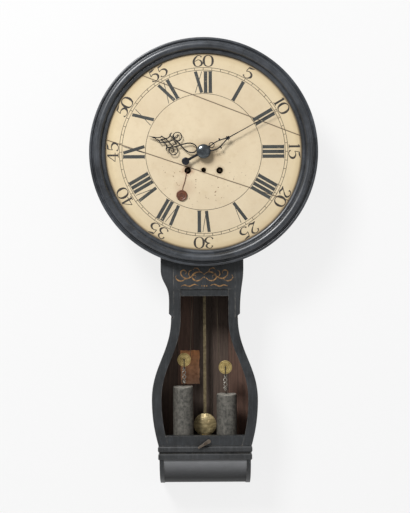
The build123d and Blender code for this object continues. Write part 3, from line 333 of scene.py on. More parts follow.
def dial_paint():
    """Cream oil paint with its rings, marks, open joints, stains, specks and a painted moulding shadow at the edge, on
    boards that are bare behind.
    """
    look = Finish("dial paint")
    x, y, z = look.axes()
    r = look.far(x, z)
    look.tone = look.blend(look.cloud(5.0, 5.0, 0.6, 0.35, 0.65), paint(226, 209, 177), paint(214, 195, 163))
    look.over(look.fade(r, 0.255, 0.315), 222, 203, 164)
    look.over(look.fade(z, 0.02, -0.3, 0.0, 0.2), 197, 182, 158)
    look.over(look.fade(z, 0.1, 0.32, 0.0, 0.35), 202, 186, 156)
    look.over(look.cloud(42.0, 8.0, 0.7, 0.5, 0.75, 0.0, 0.4), 203, 180, 142)
    look.over(look.cloud(150.0, 6.0, 0.75, 0.6, 0.78, 0.0, 0.5), 172, 148, 112)
    look.over(look.fade(r, 0.304, 0.321, 0.0, 0.35), 170, 142, 98)
    # Dark band at the dial's edge: painted shadow of the moulding, with soil.
    look.over(look.fade(r, 0.3185, 0.3255), 92, 76, 54)
    low = look.fade(z, -0.01, -0.07) * look.fade(r, 0.2, 0.15)
    look.over(look.cloud(95.0, 2.0, 0.5, 0.655, 0.69) * low * 0.75, 120, 84, 55)

    def near(px, pz, inner, outer, amount):
        return look.fade(look.far(x - px * MM, z - pz * MM), inner * MM, outer * MM, amount, 0.0)

    patchy = look.cloud(70.0, 5.0, 0.55, 0.35, 0.6)
    for hole_x, stain, size, colour in HOLE_STAINS:
        look.over(near(hole_x, WINDING_Z, 9.0, size, stain) * patchy, *colour)
    look.over(near(8.0, -8.0, 22.0, 62.0, 0.45), 160, 130, 92)
    look.over(near(-62.0, -120.0, 14.0, 42.0, 0.3), 176, 140, 110)

    wander = (look.noise(look.place, 30.0, 3.0) - 0.5) * (2.5 * MM)
    crack = 0.0
    for slope, height in DIAL_JOINTS:
        off = z - (x * slope + height * MM)
        look.over(look.fade(abs(off), 0.5 * MM, 5.0 * MM, 0.34, 0.0), 150, 122, 88)
        gap = look.fade(abs(off + wander * 0.25), 0.9 * MM, 1.6 * MM, 0.95, 0.0)
        crack = look.do("MAXIMUM", crack, gap)
    look.over(crack, 66, 52, 40)

    ink = 0.0
    for ring_r in (CHAPTER_R, *TRACK_R):
        ink = look.do("MAXIMUM", ink, look.do("COMPARE", r, ring_r * MM, RING_HALF * MM))
    minute = look.do("ARCTAN2", x, z) * (60 / (2 * pi))
    from_mark = look.do("PINGPONG", minute, 0.5) * (2 * pi * TRACK_R[0] / 60 * MM)
    on_track = look.do("COMPARE", r, sum(TRACK_R) / 2 * MM, (TRACK_R[1] - TRACK_R[0]) / 2 * MM)
    ink = look.do("MAXIMUM", ink, (from_mark < MARK_HALF * MM) * on_track)
    look.over(ink * look.cloud(26.0, 6.0, 0.7, 0.3, 0.5, 0.6, 0.95), 70, 62, 48)

    bare = look.blend(look.fade(look.grain((1.6, 38, 38)), 0.36, 0.68), paint(104, 76, 58), paint(150, 118, 92))
    bare = look.blend(crack, bare, paint(40, 30, 24))
    look.tone = look.blend(look.axes(look.normal())[1] > 0.5, look.tone, bare)
    return look.done(0.62, look.noise(look.place, 120.0, 5.0, 0.6) * 0.3 - crack, 0.25, 0.0006)


def numeral_paint(name, colour, worn_from, worn_to, most):
    """Thin black paint, rubbed through to the cream in places."""
    look = Finish(name)
    worn = look.cloud(55.0, 7.0, 0.75, worn_from, worn_to, 0.0, most)
    pale = paint(*[c * 1.3 for c in colour])
    look.tone = look.blend(look.cloud(18.0, 4.0, 0.55, 0.35, 0.65), paint(*colour), pale)
    look.over(worn, 206, 188, 156)
    return look.done(0.6, worn, 0.15, 0.0002)


# Meshes
class Shape:
    """Points and faces of one piece, put together from bars, turned forms and tubes."""

    def __init__(self):
        self.points, self.faces, self.smooth = [], [], []

    def grid(self, rows, closed_rows=False, closed_ring=True, smooth=True, caps=True, sharp_caps=False):
        """Join rows of points into a skin; each row is a ring round the form, and sharp caps have own points."""
        start, n = len(self.points), len(rows[0])
        for row in rows:
            self.points.extend(row)
        count = len(rows)
        for i in range(count if closed_rows else count - 1):
            for j in range(n if closed_ring else n - 1):
                a, b = start + i * n + j, start + i * n + (j + 1) % n
                c, d = start + (i + 1) % count * n + (j + 1) % n, start + (i + 1) % count * n + j
                self.faces.append((a, b, c, d))
                self.smooth.append(smooth)
        if caps and not closed_rows:
            first, last = start, start + (count - 1) * n
            if sharp_caps:
                first, last = len(self.points), len(self.points) + n
                self.points += [*rows[0], *rows[-1]]
            self.faces.append(tuple(first + j for j in reversed(range(n))))
            self.faces.append(tuple(last + j for j in range(n)))
            self.smooth += [False, False]

    def bar(self, path, back, front, bevel=0.0, turn=0.0, scale=1.0, closed=False):
        """A flat bar on the (x, z) plane along a path of (x, z, half width), turned clockwise by an angle."""
        rows = []
        count = len(path)
        for i, (x, z, half) in enumerate(path):
            before = path[(i - 1) % count if closed else max(i - 1, 0)]
            after = path[(i + 1) % count if closed else min(i + 1, count - 1)]
            dx, dz = after[0] - before[0], after[1] - before[1]
            length = hypot(dx, dz) or 1.0
            nx, nz = -dz / length, dx / length
            soft = min(bevel, half * 0.6)
            drop = front + soft * scale
            section = [(-half, back), (-half, front), (half, front), (half, back)]
            if bevel:
                section[1:3] = [(-half, drop), (-half + soft, front), (half - soft, front), (half, drop)]
            row = []
            for side, y in section:
                px, pz = (x + nx * side) * scale, (z + nz * side) * scale
                row.append((px * cos(turn) + pz * sin(turn), y, pz * cos(turn) - px * sin(turn)))
            rows.append(row)
        self.grid(rows, closed_rows=closed, smooth=False)

    def turned(self, profile, centre, axis="Y", steps=48, start=0.0, end=2 * pi, closed=False):
        """Turn an outline of (radius, height along the axis), round an axis through a centre."""
        whole = end - start > 2 * pi - 1e-6
        rows = []
        for i in range(steps if whole else steps + 1):
            angle = start + (end - start) * i / steps
            row = []
            for r, h in profile:
                a, b = r * cos(angle), r * sin(angle)
                row.append((centre[0] + a, h, centre[2] + b) if axis == "Y" else
                           (centre[0] + a, centre[1] + b, h))
            rows.append(row)
        self.grid(rows, closed_rows=whole, closed_ring=closed, caps=closed and not whole, sharp_caps=True)

    def tube(self, path, r, sides=8, closed=False):
        """A round tube along points."""
        rows = []
        count = len(path)
        normal = None
        for i, point in enumerate(path):
            before = Vector(path[(i - 1) % count if closed else max(i - 1, 0)])
            after = Vector(path[(i + 1) % count if closed else min(i + 1, count - 1)])
            along = (after - before).normalized()
            if normal is None:
                normal = along.cross(Vector((0, 1, 0)) if abs(along.y) < 0.9 else Vector((1, 0, 0)))
            normal = (normal - along * normal.dot(along)).normalized()
            other = along.cross(normal)
            rows.append([tuple(Vector(point) + normal * (r * cos(a)) + other * (r * sin(a)))
                         for a in (2 * pi * k / sides for k in range(sides))])
        self.grid(rows, closed_rows=closed)

    def piece(self, name, material, body, slot, replaces=None):
        """Make the mesh, give it its finish and let it ride on a body."""
        mesh = bpy.data.meshes.new(name)
        mesh.from_pydata(self.points, [], self.faces)
        mesh.polygons.foreach_set("use_smooth", self.smooth)
        mesh.validate()
        mesh.update()
        mesh.materials.append(material)
        made = bpy.data.objects.new(name, mesh)
        bpy.context.scene.collection.objects.link(made)
        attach(made, body)
        if replaces:
            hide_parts(replaces)
        return made


def middle(node):
    """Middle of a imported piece, as x, y and z."""
    low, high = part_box(node)
    return (low.x + high.x) / 2, (low.y + high.y) / 2, (low.z + high.z) / 2


def smooth_path(points, steps=8, closed=False):
    """A rounded path through points of any number of values, as a Catmull-Rom curve."""
    count = len(points)
    path = []
    for i in range(count if closed else count - 1):
        near = [i - 1, i, i + 1, i + 2]
        p = [points[k % count] if closed else points[min(max(k, 0), count - 1)] for k in near]
        for step in range(steps):
            t = step / steps
            path.append(tuple(0.5 * (2 * b + (c - a) * t + (2 * a - 5 * b + 4 * c - d) * t * t
                                     + (3 * b - a - 3 * c + d) * t**3) for a, b, c, d in zip(*p)))
    return path if closed else [*path, tuple(points[-1])]


def curve(half, *points):
    """A smooth stroke through points of (x, z, share of the half width)."""
    return smooth_path([(x, z, half * share) for x, z, share in points])


def arc_path(centre, r, start, sweep, half, steps=24, end_half=None):
    """Part of a circle as a path of (x, z, half width), with angles in degrees."""
    end_half = half if end_half is None else end_half
    path = []
    for i in range(steps + 1):
        angle = radians(start + sweep * i / steps)
        path.append((centre[0] + r * cos(angle), centre[1] + r * sin(angle), half + (end_half - half) * (i / steps)))
    return path


def mirrored(path):
    return [(-x, z, half) for x, z, half in path]


# Numbers on the dial, in mm
PAINT_THICKNESS, PAINT_ROOT, PAINT_STEP = 0.12 * MM, 0.05 * MM, 0.01 * MM
ROMAN_FOOT, ROMAN_HEIGHT = 196.0, 70.5
ARABIC_FOOT, ARABIC_HEIGHT, ARABIC_GAP = 283.0, 37.0, 2.0
ARABIC_BOLD, ARABIC_LEAST = 1.4, 0.031     # how far a digit's strokes are widened, and their least half width
THICK, THIN = 5.7, 1.0                     # half widths of the Roman numerals' strokes
HOURS = ("XII", "I", "II", "III", "IIII", "V", "VI", "VII", "VIII", "IX", "X", "XI")
MINUTES = [str(60 if place == 0 else 5 * place) for place in range(12)]

# Width of each numeral, and its strokes from (across, up) to (across, up)
ROMAN = {
    "I": (15.6, [((7.8, 0), (7.8, 1), THICK), ((0.5, 0.0), (15.1, 0.0), THIN), ((0.5, 1.0), (15.1, 1.0), THIN)]),
    "V": (31.0, [((6.0, 1), (15.0, 0), THICK * 0.92), ((27.0, 1), (15.5, 0), THIN)]),
    "X": (31.0, [((5.0, 1), (26.0, 0), THICK * 0.92), ((26.0, 1), (4.5, 0), THIN)]),
}

# Width of each digit, and its strokes through points of (across, up, half width), in parts of its height
DIGITS = {
    "0": (0.88, [("closed", [(0.44, 1.0, .018), (0.74, 0.86, .05), (0.84, 0.5, .075), (0.74, 0.14, .05),
                             (0.44, 0.0, .018), (0.14, 0.14, .05), (0.04, 0.5, .075), (0.14, 0.86, .05)])]),
    "1": (0.42, [("open", [(0.2, 0.0, .065), (0.2, 1.0, .065)]), ("open", [(0.02, 0.84, .015), (0.2, 0.98, .03)]),
                 ("open", [(0.02, 0.01, .015), (0.38, 0.01, .015)])]),
    "2": (0.84, [("open", [(0.12, 0.72, .06), (0.16, 0.9, .03), (0.42, 1.0, .02), (0.7, 0.85, .06),
                           (0.64, 0.6, .05), (0.34, 0.3, .02), (0.06, 0.04, .02)]),
                 ("open", [(0.06, 0.05, .03), (0.3, 0.12, .055), (0.58, 0.04, .05), (0.8, 0.2, .015)])]),
    "3": (0.82, [("open", [(0.12, 0.76, .055), (0.2, 0.94, .025), (0.42, 1.0, .02), (0.66, 0.84, .055),
                           (0.58, 0.62, .04), (0.34, 0.55, .015)]),
                 ("open", [(0.34, 0.55, .015), (0.66, 0.47, .05), (0.76, 0.26, .065), (0.56, 0.03, .03),
                           (0.26, 0.0, .02), (0.08, 0.16, .055)])]),
    "4": (0.86, [("open", [(0.56, 1.0, .02), (0.04, 0.3, .018)]), ("open", [(0.02, 0.29, .02), (0.82, 0.29, .02)]),
                 ("open", [(0.58, 1.0, .06), (0.58, 0.0, .06)]), ("open", [(0.38, 0.01, .015), (0.78, 0.01, .015)])]),
    "5": (0.82, [("open", [(0.22, 0.93, .045), (0.46, 0.95, .05), (0.74, 1.02, .015)]),
                 ("open", [(0.22, 0.93, .018), (0.16, 0.52, .018)]),
                 ("open", [(0.16, 0.53, .015), (0.42, 0.62, .03), (0.7, 0.5, .06), (0.76, 0.26, .068),
                           (0.54, 0.03, .03), (0.24, 0.0, .02), (0.07, 0.14, .055)])]),
    "6": (0.86, [("open", [(0.74, 0.84, .05), (0.6, 0.98, .02), (0.4, 0.96, .03), (0.14, 0.7, .06),
                           (0.05, 0.38, .072), (0.18, 0.08, .045), (0.42, 0.0, .018), (0.7, 0.12, .05),
                           (0.78, 0.32, .065), (0.66, 0.52, .04), (0.44, 0.6, .018), (0.18, 0.46, .02)])]),
}


def roman_path(stroke, left):
    (x0, z0), (x1, z1), half = stroke
    path = [(left + x0, ROMAN_FOOT + z0 * ROMAN_HEIGHT, half), (left + x1, ROMAN_FOOT + z1 * ROMAN_HEIGHT, half)]
    return path, False


def digit_path(stroke, left):
    closed = stroke[0] == "closed"
    path = smooth_path(stroke[1], 6, closed) if len(stroke[1]) > 2 else stroke[1]
    return [(left + x * ARABIC_HEIGHT, ARABIC_FOOT + z * ARABIC_HEIGHT,
             max(half * ARABIC_BOLD, ARABIC_LEAST) * ARABIC_HEIGHT) for x, z, half in path], closed


def numbers(name, material, words, glyphs, draw, gap, unit):
    """Numbers round the dial, with their feet towards the middle."""
    shape = Shape()
    for place, word in enumerate(words):
        turn = 2 * pi * place / len(words)
        left = -(sum(glyphs[letter][0] * unit for letter in word) + gap * (len(word) - 1)) / 2
        lift = 0
        for letter in word:
            advance, strokes = glyphs[letter]
            for stroke in strokes:
                path, closed = draw(stroke, left)
                front = DIAL_FACE - PAINT_THICKNESS - lift * PAINT_STEP
                shape.bar(path, DIAL_FACE + PAINT_ROOT, front, turn=turn, scale=MM, closed=closed)
                lift += 1
            left += advance * unit + gap
    return shape.piece(name, material, "case", "dial_paint")


# Hands
HANDS = {"hour_hand": radians(286.0), "minute_hand": radians(61.5)}    # clockwise from twelve, as packed
HAND_HALF, HAND_BEVEL = 1.95, 0.5                                      # in mm
HAND_THICKNESS, HAND_ROOT = 2.0 * MM, 0.2 * MM
HUB_R, HUB_HOLE_R = 22.4 * MM, 6.9 * MM
TAIL_REACH, TAIL_R = -68, 12.8 * MM
BOSS_R, BOSS_HOLE_R, BOSS_FLAT = 24 * MM, 4.2 * MM, 0.8 * MM


def hand(node, strokes):
    """Strokes of a hand, each a little above the one before; also the back and front of its flat part."""
    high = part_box(node)[1].y
    back, front = high - HAND_ROOT, high - HAND_THICKNESS
    shape = Shape()
    for i, path in enumerate(strokes):
        shape.bar(path, back, front + 0.02 * MM * (i + 1), HAND_BEVEL, HANDS[node], MM)
    return shape, high, front


def hour_hand(material):
    """Pierced hand: a leaf loop, a pair of scrolls, two diamonds and a barbed point."""
    half = HAND_HALF
    strokes = [
        curve(half, (0.6, 78, 1), (6, 70, 1), (13.5, 54, 1), (15, 41, 1), (10.5, 29, 1), (0, 23, 1)),
        curve(half, (0, 79, 1), (6, 88, 0.9), (12, 100, 0.9), (17, 112, 0.9), (20, 121, 1)),
        arc_path((24, 97), 14.3, -165, 318, half * 0.9, 32, half * 0.6),
        arc_path((25.5, 103), 7.5, 70, 250, half * 0.7, 20, half * 0.9),
        curve(half, (20, 121, 1), (13, 124, 0.9), (8, 131, 0.8), (8.5, 140, 0.9), (11.5, 147, 1.1)),
        curve(half, (12, 147.5, 1), (6.5, 150, 0.9), (3, 160, 0.8), (0.4, 176, 0.8)),
        curve(half, (20, 121, 1.3), (26, 121, 1), (31, 117, 0.6)),
        curve(half, (-0.8, 93, 0.8), (10, 106.5, 0.8)),
        curve(half, (10, 106.5, 0.8), (-0.8, 120, 0.8)),
        curve(half, (-0.8, 119, 0.8), (4.5, 127, 0.8), (5.5, 134, 0.8), (-0.6, 148, 0.8)),
    ]
    shape, back, front = hand("hour_hand", [*strokes, *map(mirrored, strokes)])
    point = [(0, 172, half), (0, 189.8, 0.3)]
    shape.bar(point, back - HAND_ROOT, front + 0.01 * MM, HAND_BEVEL, HANDS["hour_hand"], MM)
    shape.turned([(HUB_HOLE_R, back), (HUB_R, back), (HUB_R, front + 0.3 * MM), (HUB_R - 0.3 * MM, front),
                  (HUB_HOLE_R, front)], (0, 0, 0), closed=True)
    return shape.piece("pierced_hour_hand", material, "hour_hand", "steel", "hour_hand")


def minute_hand(material, polished):
    """Long thin blade, a leaf with a ring and a barb, and a tail with a disc, under a domed boss."""
    half = HAND_HALF
    strokes = [
        curve(half, (-3, 20, 1), (-7, 42, 0.9), (-6.5, 62, 0.9), (-1, 90, 1)),
        curve(half, (8, 19, 1), (14, 34, 1), (14, 50, 1), (8, 70, 0.9), (0.5, 91, 1)),
        curve(half, (13, 52, 1), (16.5, 57, 1), (21, 54, 0.5)),
        curve(half, (-6, 62, 1), (-10, 66, 1), (-12, 62, 0.5)),
        curve(half, (-7.5, 90, 0.5), (0, 90.5, 1.9), (7.5, 90, 0.5)),
        curve(half, (-4.5, 98, 0.4), (0, 91, 1.9), (4.5, 98, 0.4)),
        curve(half, (-4, 83, 0.4), (0, 89, 1.9), (4, 83, 0.4)),
        [(0, 90, 2.0), (0, 140, 1.45), (0, 276.8, 0.8)],
        smooth_path([(0, 0, 5.6), (0, -22, 4.6), (0, -42, 3.8), (0, TAIL_REACH, 5.5)]),
    ]
    shape, high, front = hand("minute_hand", strokes)
    turn, back = HANDS["minute_hand"], high - HAND_ROOT
    ring = arc_path((-5, 33), 8.5, 0, 360, 1.35, 32)[:-1]
    shape.bar(ring, back, front + 0.005 * MM, HAND_BEVEL, turn, MM, closed=True)
    tail = (TAIL_REACH * MM * sin(turn), 0, TAIL_REACH * MM * cos(turn))
    shape.turned([(0, back), (TAIL_R, back), (TAIL_R, front + 0.5 * MM), (TAIL_R - 0.6 * MM, front), (0, front)],
                 tail, closed=True)
    shape.piece("counterpoised_minute_hand", material, "minute_hand", "steel", "minute_hand")
    boss = Shape()
    top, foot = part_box("minute_hand")[0].y, front - BOSS_FLAT
    dome = [(BOSS_R * cos(a), foot + (top - front + BOSS_FLAT) * sin(a)) for a in (pi / 2 * i / 12 for i in range(1, 13))]
    boss.turned([(BOSS_HOLE_R, back), (BOSS_R, back), (BOSS_R, foot), *dome], (0, 0, 0), steps=64)
    boss.piece("domed_boss", polished, "minute_hand", "steel", "minute_hand")


# Dial moulding: lines of its section as (out from an edge, in front of the dial), in mm
MOULDING_WIDTH = 54
BEAD = ((0, 0), (0, 2.6), (0.8, 4.4), (2.4, 6.2), (4.6, 7.6), (7.0, 8.4), (9.4, 8.4), (11.4, 7.7), (12.6, 6.9),
        (13.2, 7.0), (13.8, 8.2))
LIP = ((-14.6, 6.2), (-13.2, 4.6), (-10.4, 4.6), (-9.2, 5.4), (-8.8, 7.6), (-7.8, 8.7), (-5.6, 9.0), (-2.8, 8.9),
       (-1.0, 8.0), (-0.2, 6.2), (0.0, 4.0))
SWELL_FOOT, SWELL_IN, SWELL_OUT, SWELL_STEPS = 8.8, 14.2, 15.2, 18
JOINT_GAP, MOST_SUNK, SEGMENT_STEP = 0.02 * MM, 0.6, 1.5


def moulding_outline():
    """Cross-section of the moulding as (radius, y): a bead at the dial, a broad swell, a groove and an outer lip."""
    reveal_r = MOULDING_R - MOULDING_WIDTH * MM
    line = [(reveal_r + r * MM, DIAL_FACE - d * MM) for r, d in BEAD]
    low, high = reveal_r + SWELL_IN * MM, MOULDING_R - SWELL_OUT * MM
    foot, height = SWELL_FOOT * MM, DIAL_FACE - MOULDING_LOW.y
    for i in range(SWELL_STEPS + 1):
        angle = pi * i / SWELL_STEPS
        line.append(((low + high) / 2 - (high - low) / 2 * cos(angle),
                     DIAL_FACE - foot - (height - foot) * sin(angle) ** 0.8))
    line += [(MOULDING_R + r * MM, DIAL_FACE - d * MM) for r, d in LIP]
    behind = DIAL_R + 0.3 * MM
    return [*line, (MOULDING_R, MOULDING_BACK), (behind, MOULDING_BACK), (behind, DIAL_FACE)]


def dial_moulding(material):
    """Six turned segments; each has shrunk and moved a little by itself."""
    shape = Shape()
    chance = Random(4)
    ends = [*MOULDING_JOINTS[1:], MOULDING_JOINTS[0] + 360]
    outline = moulding_outline()
    gap = JOINT_GAP / MOULDING_R
    for start, end in zip(MOULDING_JOINTS, ends):
        sunk = chance.uniform(0.0, MOST_SUNK) * MM
        segment = [(r - sunk * 0.5, y + (sunk if y < DIAL_FACE - 5 * MM else 0)) for r, y in outline]
        shape.turned(segment, (0, 0, 0), steps=int((end - start) / SEGMENT_STEP), start=radians(start) + gap,
                     end=radians(end) - gap, closed=True)
    return shape.piece("turned_dial_moulding", material, "case", "ebonised_wood", "dial_moulding")


# Gilt scrolls on the sign board, in mm
GILT_HALF, GILT_BELOW = 1.7, 12


def gilt_scrolls(material):
    """Painted scrollwork in worn gilt."""
    level = middle("sign_board")[2] - GILT_BELOW * MM
    half = GILT_HALF
    sprays = [
        curve(half, (0, 6, 0.3), (14, 14, 1), (32, 10, 1.5), (46, -4, 1), (62, -8, 1.4), (76, 2, 1), (78, 15, 1.2),
              (68, 20, 1), (60, 13, 0.8), (64, 6, 0.5)),
        curve(half, (4, -4, 0.3), (16, -14, 1), (30, -15, 1.3), (40, -6, 1), (36, 3, 0.8), (28, 1, 0.6), (29, -6, 0.4)),
        curve(half, (47, -5, 0.3), (52, 6, 1), (50, 16, 0.9), (42, 20, 0.5)),
        curve(half, (62, -8, 0.3), (74, -16, 1), (88, -14, 1.2), (96, -4, 0.8), (92, 4, 0.5)),
        curve(half, (14, 14, 0.3), (20, 24, 1), (31, 27, 0.9), (37, 21, 0.5)),
        curve(half, (20, -32, 0.3), (34, -28, 1), (50, -34, 1.3), (66, -30, 1), (78, -34, 0.4)),
    ]
    shape = Shape()
    for i, path in enumerate([*sprays, *map(mirrored, sprays)]):
        path = [(x, z + level / MM, w) for x, z, w in path]
        shape.bar(path, BOARD_FRONT + PAINT_ROOT, BOARD_FRONT - 0.1 * MM - PAINT_STEP * i, scale=MM)
    for x, z in ((0, 6), (0, -4), (0, -33), (-8, -33), (8, -33)):
        dot = arc_path((x, z + level / MM), 1.2, 0, 360, 1.1, 12)[:-1]
        shape.bar(dot, BOARD_FRONT + PAINT_ROOT, BOARD_FRONT - 0.14 * MM, scale=MM, closed=True)
    return shape.piece("gilt_scrolls", material, "case", "ebonised_wood")


# Weights, stirrups, links and lines
LEAD_HEIGHT = 205 * MM
LEAD_SIDES = 64
WEIGHT_SEEDS = {"left": 11, "right": 12}
LINK_WIRE, EYE_WIRE = 1.15 * MM, 1.5 * MM
LINK_TURNS, LINK_STEPS, LINK_LOOP_R = 1.6, 48, 3.4 * MM
LINK_SWING = ((0.0, 6.0), (pi, 5.0))          # phase and half width of each strand, in mm
STRAP_HALF, STRAP_THICK = 1.5 * MM, 0.7 * MM
EYE_R, EYE_RISE = 5.2 * MM, 15 * MM


def lead_weight(side, material):
    """Cast lead cylinder with a soft, beaten rim and slightly uneven sides."""
    low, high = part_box(f"{side}_weight")
    centre_x, y, z = middle(f"{side}_weight")
    r = (high.x - low.x) / 2 - 0.3 * MM
    chance = Random(WEIGHT_SEEDS[side])
    waves = [(chance.uniform(0, 2 * pi), chance.randint(2, 7), chance.uniform(8, 60)) for i in range(6)]
    levels = [(0.0, 0.93), (0.004, 0.985), (0.012, 1.0)] + [(0.02 + 0.16 * i / 24, 1.0) for i in range(25)]
    levels += [(0.190, 1.0), (0.197, 0.998), (0.2015, 0.985), (0.2040, 0.95), (0.2046, 0.88), (0.2036, 0.6),
               (0.2033, 0.3), (0.2034, 0.06)]
    rows = []
    for height, share in levels:
        row = []
        for k in range(LEAD_SIDES):
            angle = 2 * pi * k / LEAD_SIDES
            dent = sum(sin(angle * n + phase + height * pace) for phase, n, pace in waves) / 6
            here = r * share * (0.992 + 0.008 * dent)
            sag = (0.0012 - 0.0012 * dent + 0.002 * sin(angle) ** 2) * share if height > 0.185 else 0.0
            row.append((centre_x + here * cos(angle), y + here * sin(angle), low.z + min(height - sag, LEAD_HEIGHT)))
        rows.append(row)
    shape = Shape()
    shape.grid(rows)
    return shape.piece(f"{side}_lead_weight", material, f"{side}_weight", "lead", f"{side}_weight")


def stirrup(side, iron, x, y, z, wheel_r, foot):
    """Iron strap bent round the pulley, with the pulley's pin."""
    low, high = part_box(f"{side}_stirrup")
    near, far = low.y, high.y
    strap = [(near + 1.6 * MM, z + 4 * MM), (near + 1.6 * MM, z - wheel_r * 0.7), (near + 2.2 * MM, foot + 3 * MM),
             (y - 3 * MM, foot), (y + 3 * MM, foot), (far - 2.2 * MM, foot + 3 * MM),
             (far - 1.0 * MM, z - wheel_r * 0.7), (far - 1.0 * MM, z + 4 * MM)]
    path = smooth_path([(x, py, pz) for py, pz in strap], 6)
    section = ((-1, -0.6), (-0.7, -1), (0.7, -1), (1, -0.6), (1, 0.6), (0.7, 1), (-0.7, 1), (-1, 0.6))
    rows = []
    for i, point in enumerate(path):
        before, after = Vector(path[max(i - 1, 0)]), Vector(path[min(i + 1, len(path) - 1)])
        out = Vector((1, 0, 0)).cross((after - before).normalized()).normalized()
        rows.append([tuple(Vector(point) + Vector((a * STRAP_HALF, 0, 0)) + out * (b * STRAP_THICK))
                     for a, b in section])
    shape = Shape()
    shape.grid(rows, smooth=False)
    pin = [(0, 0), (2.2, 0), (2.9, 0.5), (2.9, 1.4), (2.4, 1.5)]
    shape.turned([*[(r * MM, near + d * MM) for r, d in pin], (2.4 * MM, far), (0, far)], (x, 0, z), steps=20)
    shape.piece(f"{side}_iron_stirrup", iron, f"{side}_weight", "iron", f"{side}_stirrup")


def wire_parts(side, iron, wire):
    """Stirrup, twisted figure-eight wire link and the weight's eye; gives the pulley's centre."""
    wheel_low, wheel_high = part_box(f"{side}_pulley_wheel")
    x, y, z = middle(f"{side}_pulley_wheel")
    wheel_r = (wheel_high.x - wheel_low.x) / 2
    foot = z - wheel_r - 7.5 * MM
    stirrup(side, iron, x, y, z, wheel_r, foot)

    weight_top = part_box(f"{side}_weight")[0].z + LEAD_HEIGHT
    top, bottom = foot + 1.5 * MM, weight_top + 12 * MM
    links = Shape()
    for phase, across in LINK_SWING:
        strand = []
        for k in range(LINK_STEPS + 1):
            share = k / LINK_STEPS
            swing = across * sin(pi * min(1.0, 6 * share, 6 * (1 - share)) / 2)
            angle = phase + 2 * LINK_TURNS * pi * share
            strand.append((x + swing * MM * cos(angle), y + 2.2 * MM * sin(angle), top + (bottom - top) * share))
        links.tube(strand, LINK_WIRE)
    for height in (top, bottom):
        turns = [2 * pi * k / 20 for k in range(20)]
        links.tube([(x + LINK_LOOP_R * cos(a), y, height + LINK_LOOP_R * sin(a)) for a in turns], LINK_WIRE, closed=True)
    links.piece(f"{side}_wire_link", wire, f"{side}_weight", "iron", f"{side}_stirrup")

    eye_x = (middle(f"{side}_weight")[0] + x) / 2
    hook = [(eye_x, y, weight_top - 1.5 * MM), (eye_x, y, weight_top + 6 * MM),
            (eye_x + 1 * MM, y, weight_top + 9.5 * MM)]
    for k in range(15):
        angle = -0.42 * pi + 2 * pi * 0.9 * k / 14
        hook.append((eye_x + EYE_R * cos(angle), y + 0.05 * MM * k, weight_top + EYE_RISE + EYE_R * sin(angle)))
    eye = Shape()
    eye.tube(hook, EYE_WIRE)
    collar = ((0, -0.3), (4.5, -0.3), (4.0, 0.8), (0, 1.0))
    eye.turned([(r * MM, weight_top + h * MM) for r, h in collar], (eye_x, y, 0), axis="Z", steps=20)
    eye.piece(f"{side}_weight_eye", iron, f"{side}_weight", "iron", f"{side}_weight")
    return x, y, z


SLIDE_LEAN = radians(3.4)     # the weights rise along a line that leans inwards
SEAT_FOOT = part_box("seatboard")[0].z + 20 * MM      # where the inner and outer runs begin, inside the seatboard
BARREL_LINE_R = 25.2                                # in mm
GROOVE_R = 20.6 * MM
RUN_STEPS = 24


def gut_lines(side, material, x, y, z):
    """Gut line down from the barrel, round the pulley and up to the seatboard."""
    sign = -1 if side == "left" else 1
    start = (sign * (WINDING_X - BARREL_LINE_R) * MM, WINDING_Z * MM)
    away = hypot(x - start[0], z - start[1])
    lean = atan2(start[1] - z, sign * (start[0] - x))
    tangent = lean + (pi / 2 - atan2(GROOVE_R, sqrt(away * away - GROOVE_R * GROOVE_R)))
    leave = (x + sign * GROOVE_R * cos(tangent), z + GROOVE_R * sin(tangent))
    other_x = x + sign * GROOVE_R

    fixed = Shape()
    share = (start[1] - SEAT_FOOT) / (start[1] - leave[1])
    at_seat = start[0] + (leave[0] - start[0]) * share
    fixed.tube([(start[0], y, start[1]), (at_seat, y, SEAT_FOOT)], LINE_R)
    fixed.piece(f"{side}_line_at_barrel", material, "case", "gut", f"{side}_line")

    wrap = Shape()
    turns = [tangent + (2 * pi - tangent) * k / RUN_STEPS for k in range(RUN_STEPS + 1)]
    wrap.tube([(x + sign * GROOVE_R * cos(a), y, z + GROOVE_R * sin(a)) for a in turns], LINE_R)
    wrap.piece(f"{side}_line_round_pulley", material, f"{side}_weight", "gut", f"{side}_line")

    axis = Vector((-sign * sin(SLIDE_LEAN), 0, cos(SLIDE_LEAN)))
    for label, high, low in (("inner", (at_seat, SEAT_FOOT), leave), ("outer", (other_x, SEAT_FOOT), (other_x, z))):
        run = Shape()
        run.tube([(high[0] + (low[0] - high[0]) * k / RUN_STEPS, y, high[1] + (low[1] - high[1]) * k / RUN_STEPS)
                  for k in range(RUN_STEPS + 1)], LINE_R)
        made = run.piece(f"{side}_{label}_line", material, "case", "gut", f"{side}_line")
        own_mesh(made)


# Seal and its cord: the cord's route is in mm
CORD_ROUTE = ((-58.0, -153.0, -67.0), (-58.0, -170.0, -67.0), (-57.5, -187.0, -66.5), (-58.0, -203.5, -69.0),
              (-60.5, -201.8, -88.0), (-64.5, -202.0, -104.0), (-69.5, -202.0, -116.0), (-71.5, -202.6, -129.0))
CORD_R = 1.0
SEAL_SIDES = 72


def seal_cord(material):
    """Limp brown twine from the left winding hole, on one smooth curve."""
    route = bpy.data.curves.new("seal_twine", "CURVE")
    route.dimensions = "3D"
    route.bevel_depth = CORD_R * MM
    route.bevel_resolution = 3
    route.resolution_u = 8
    spline = route.splines.new("NURBS")
    spline.points.add(len(CORD_ROUTE) - 1)
    for point, place in zip(spline.points, CORD_ROUTE):
        point.co = (*(c * MM for c in place), 1.0)
    spline.order_u = 3
    spline.use_endpoint_u = True
    route.materials.append(material)
    made = bpy.data.objects.new("seal_twine", route)
    bpy.context.scene.collection.objects.link(made)
    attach(made, "case")
    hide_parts("seal_cord")
    return made


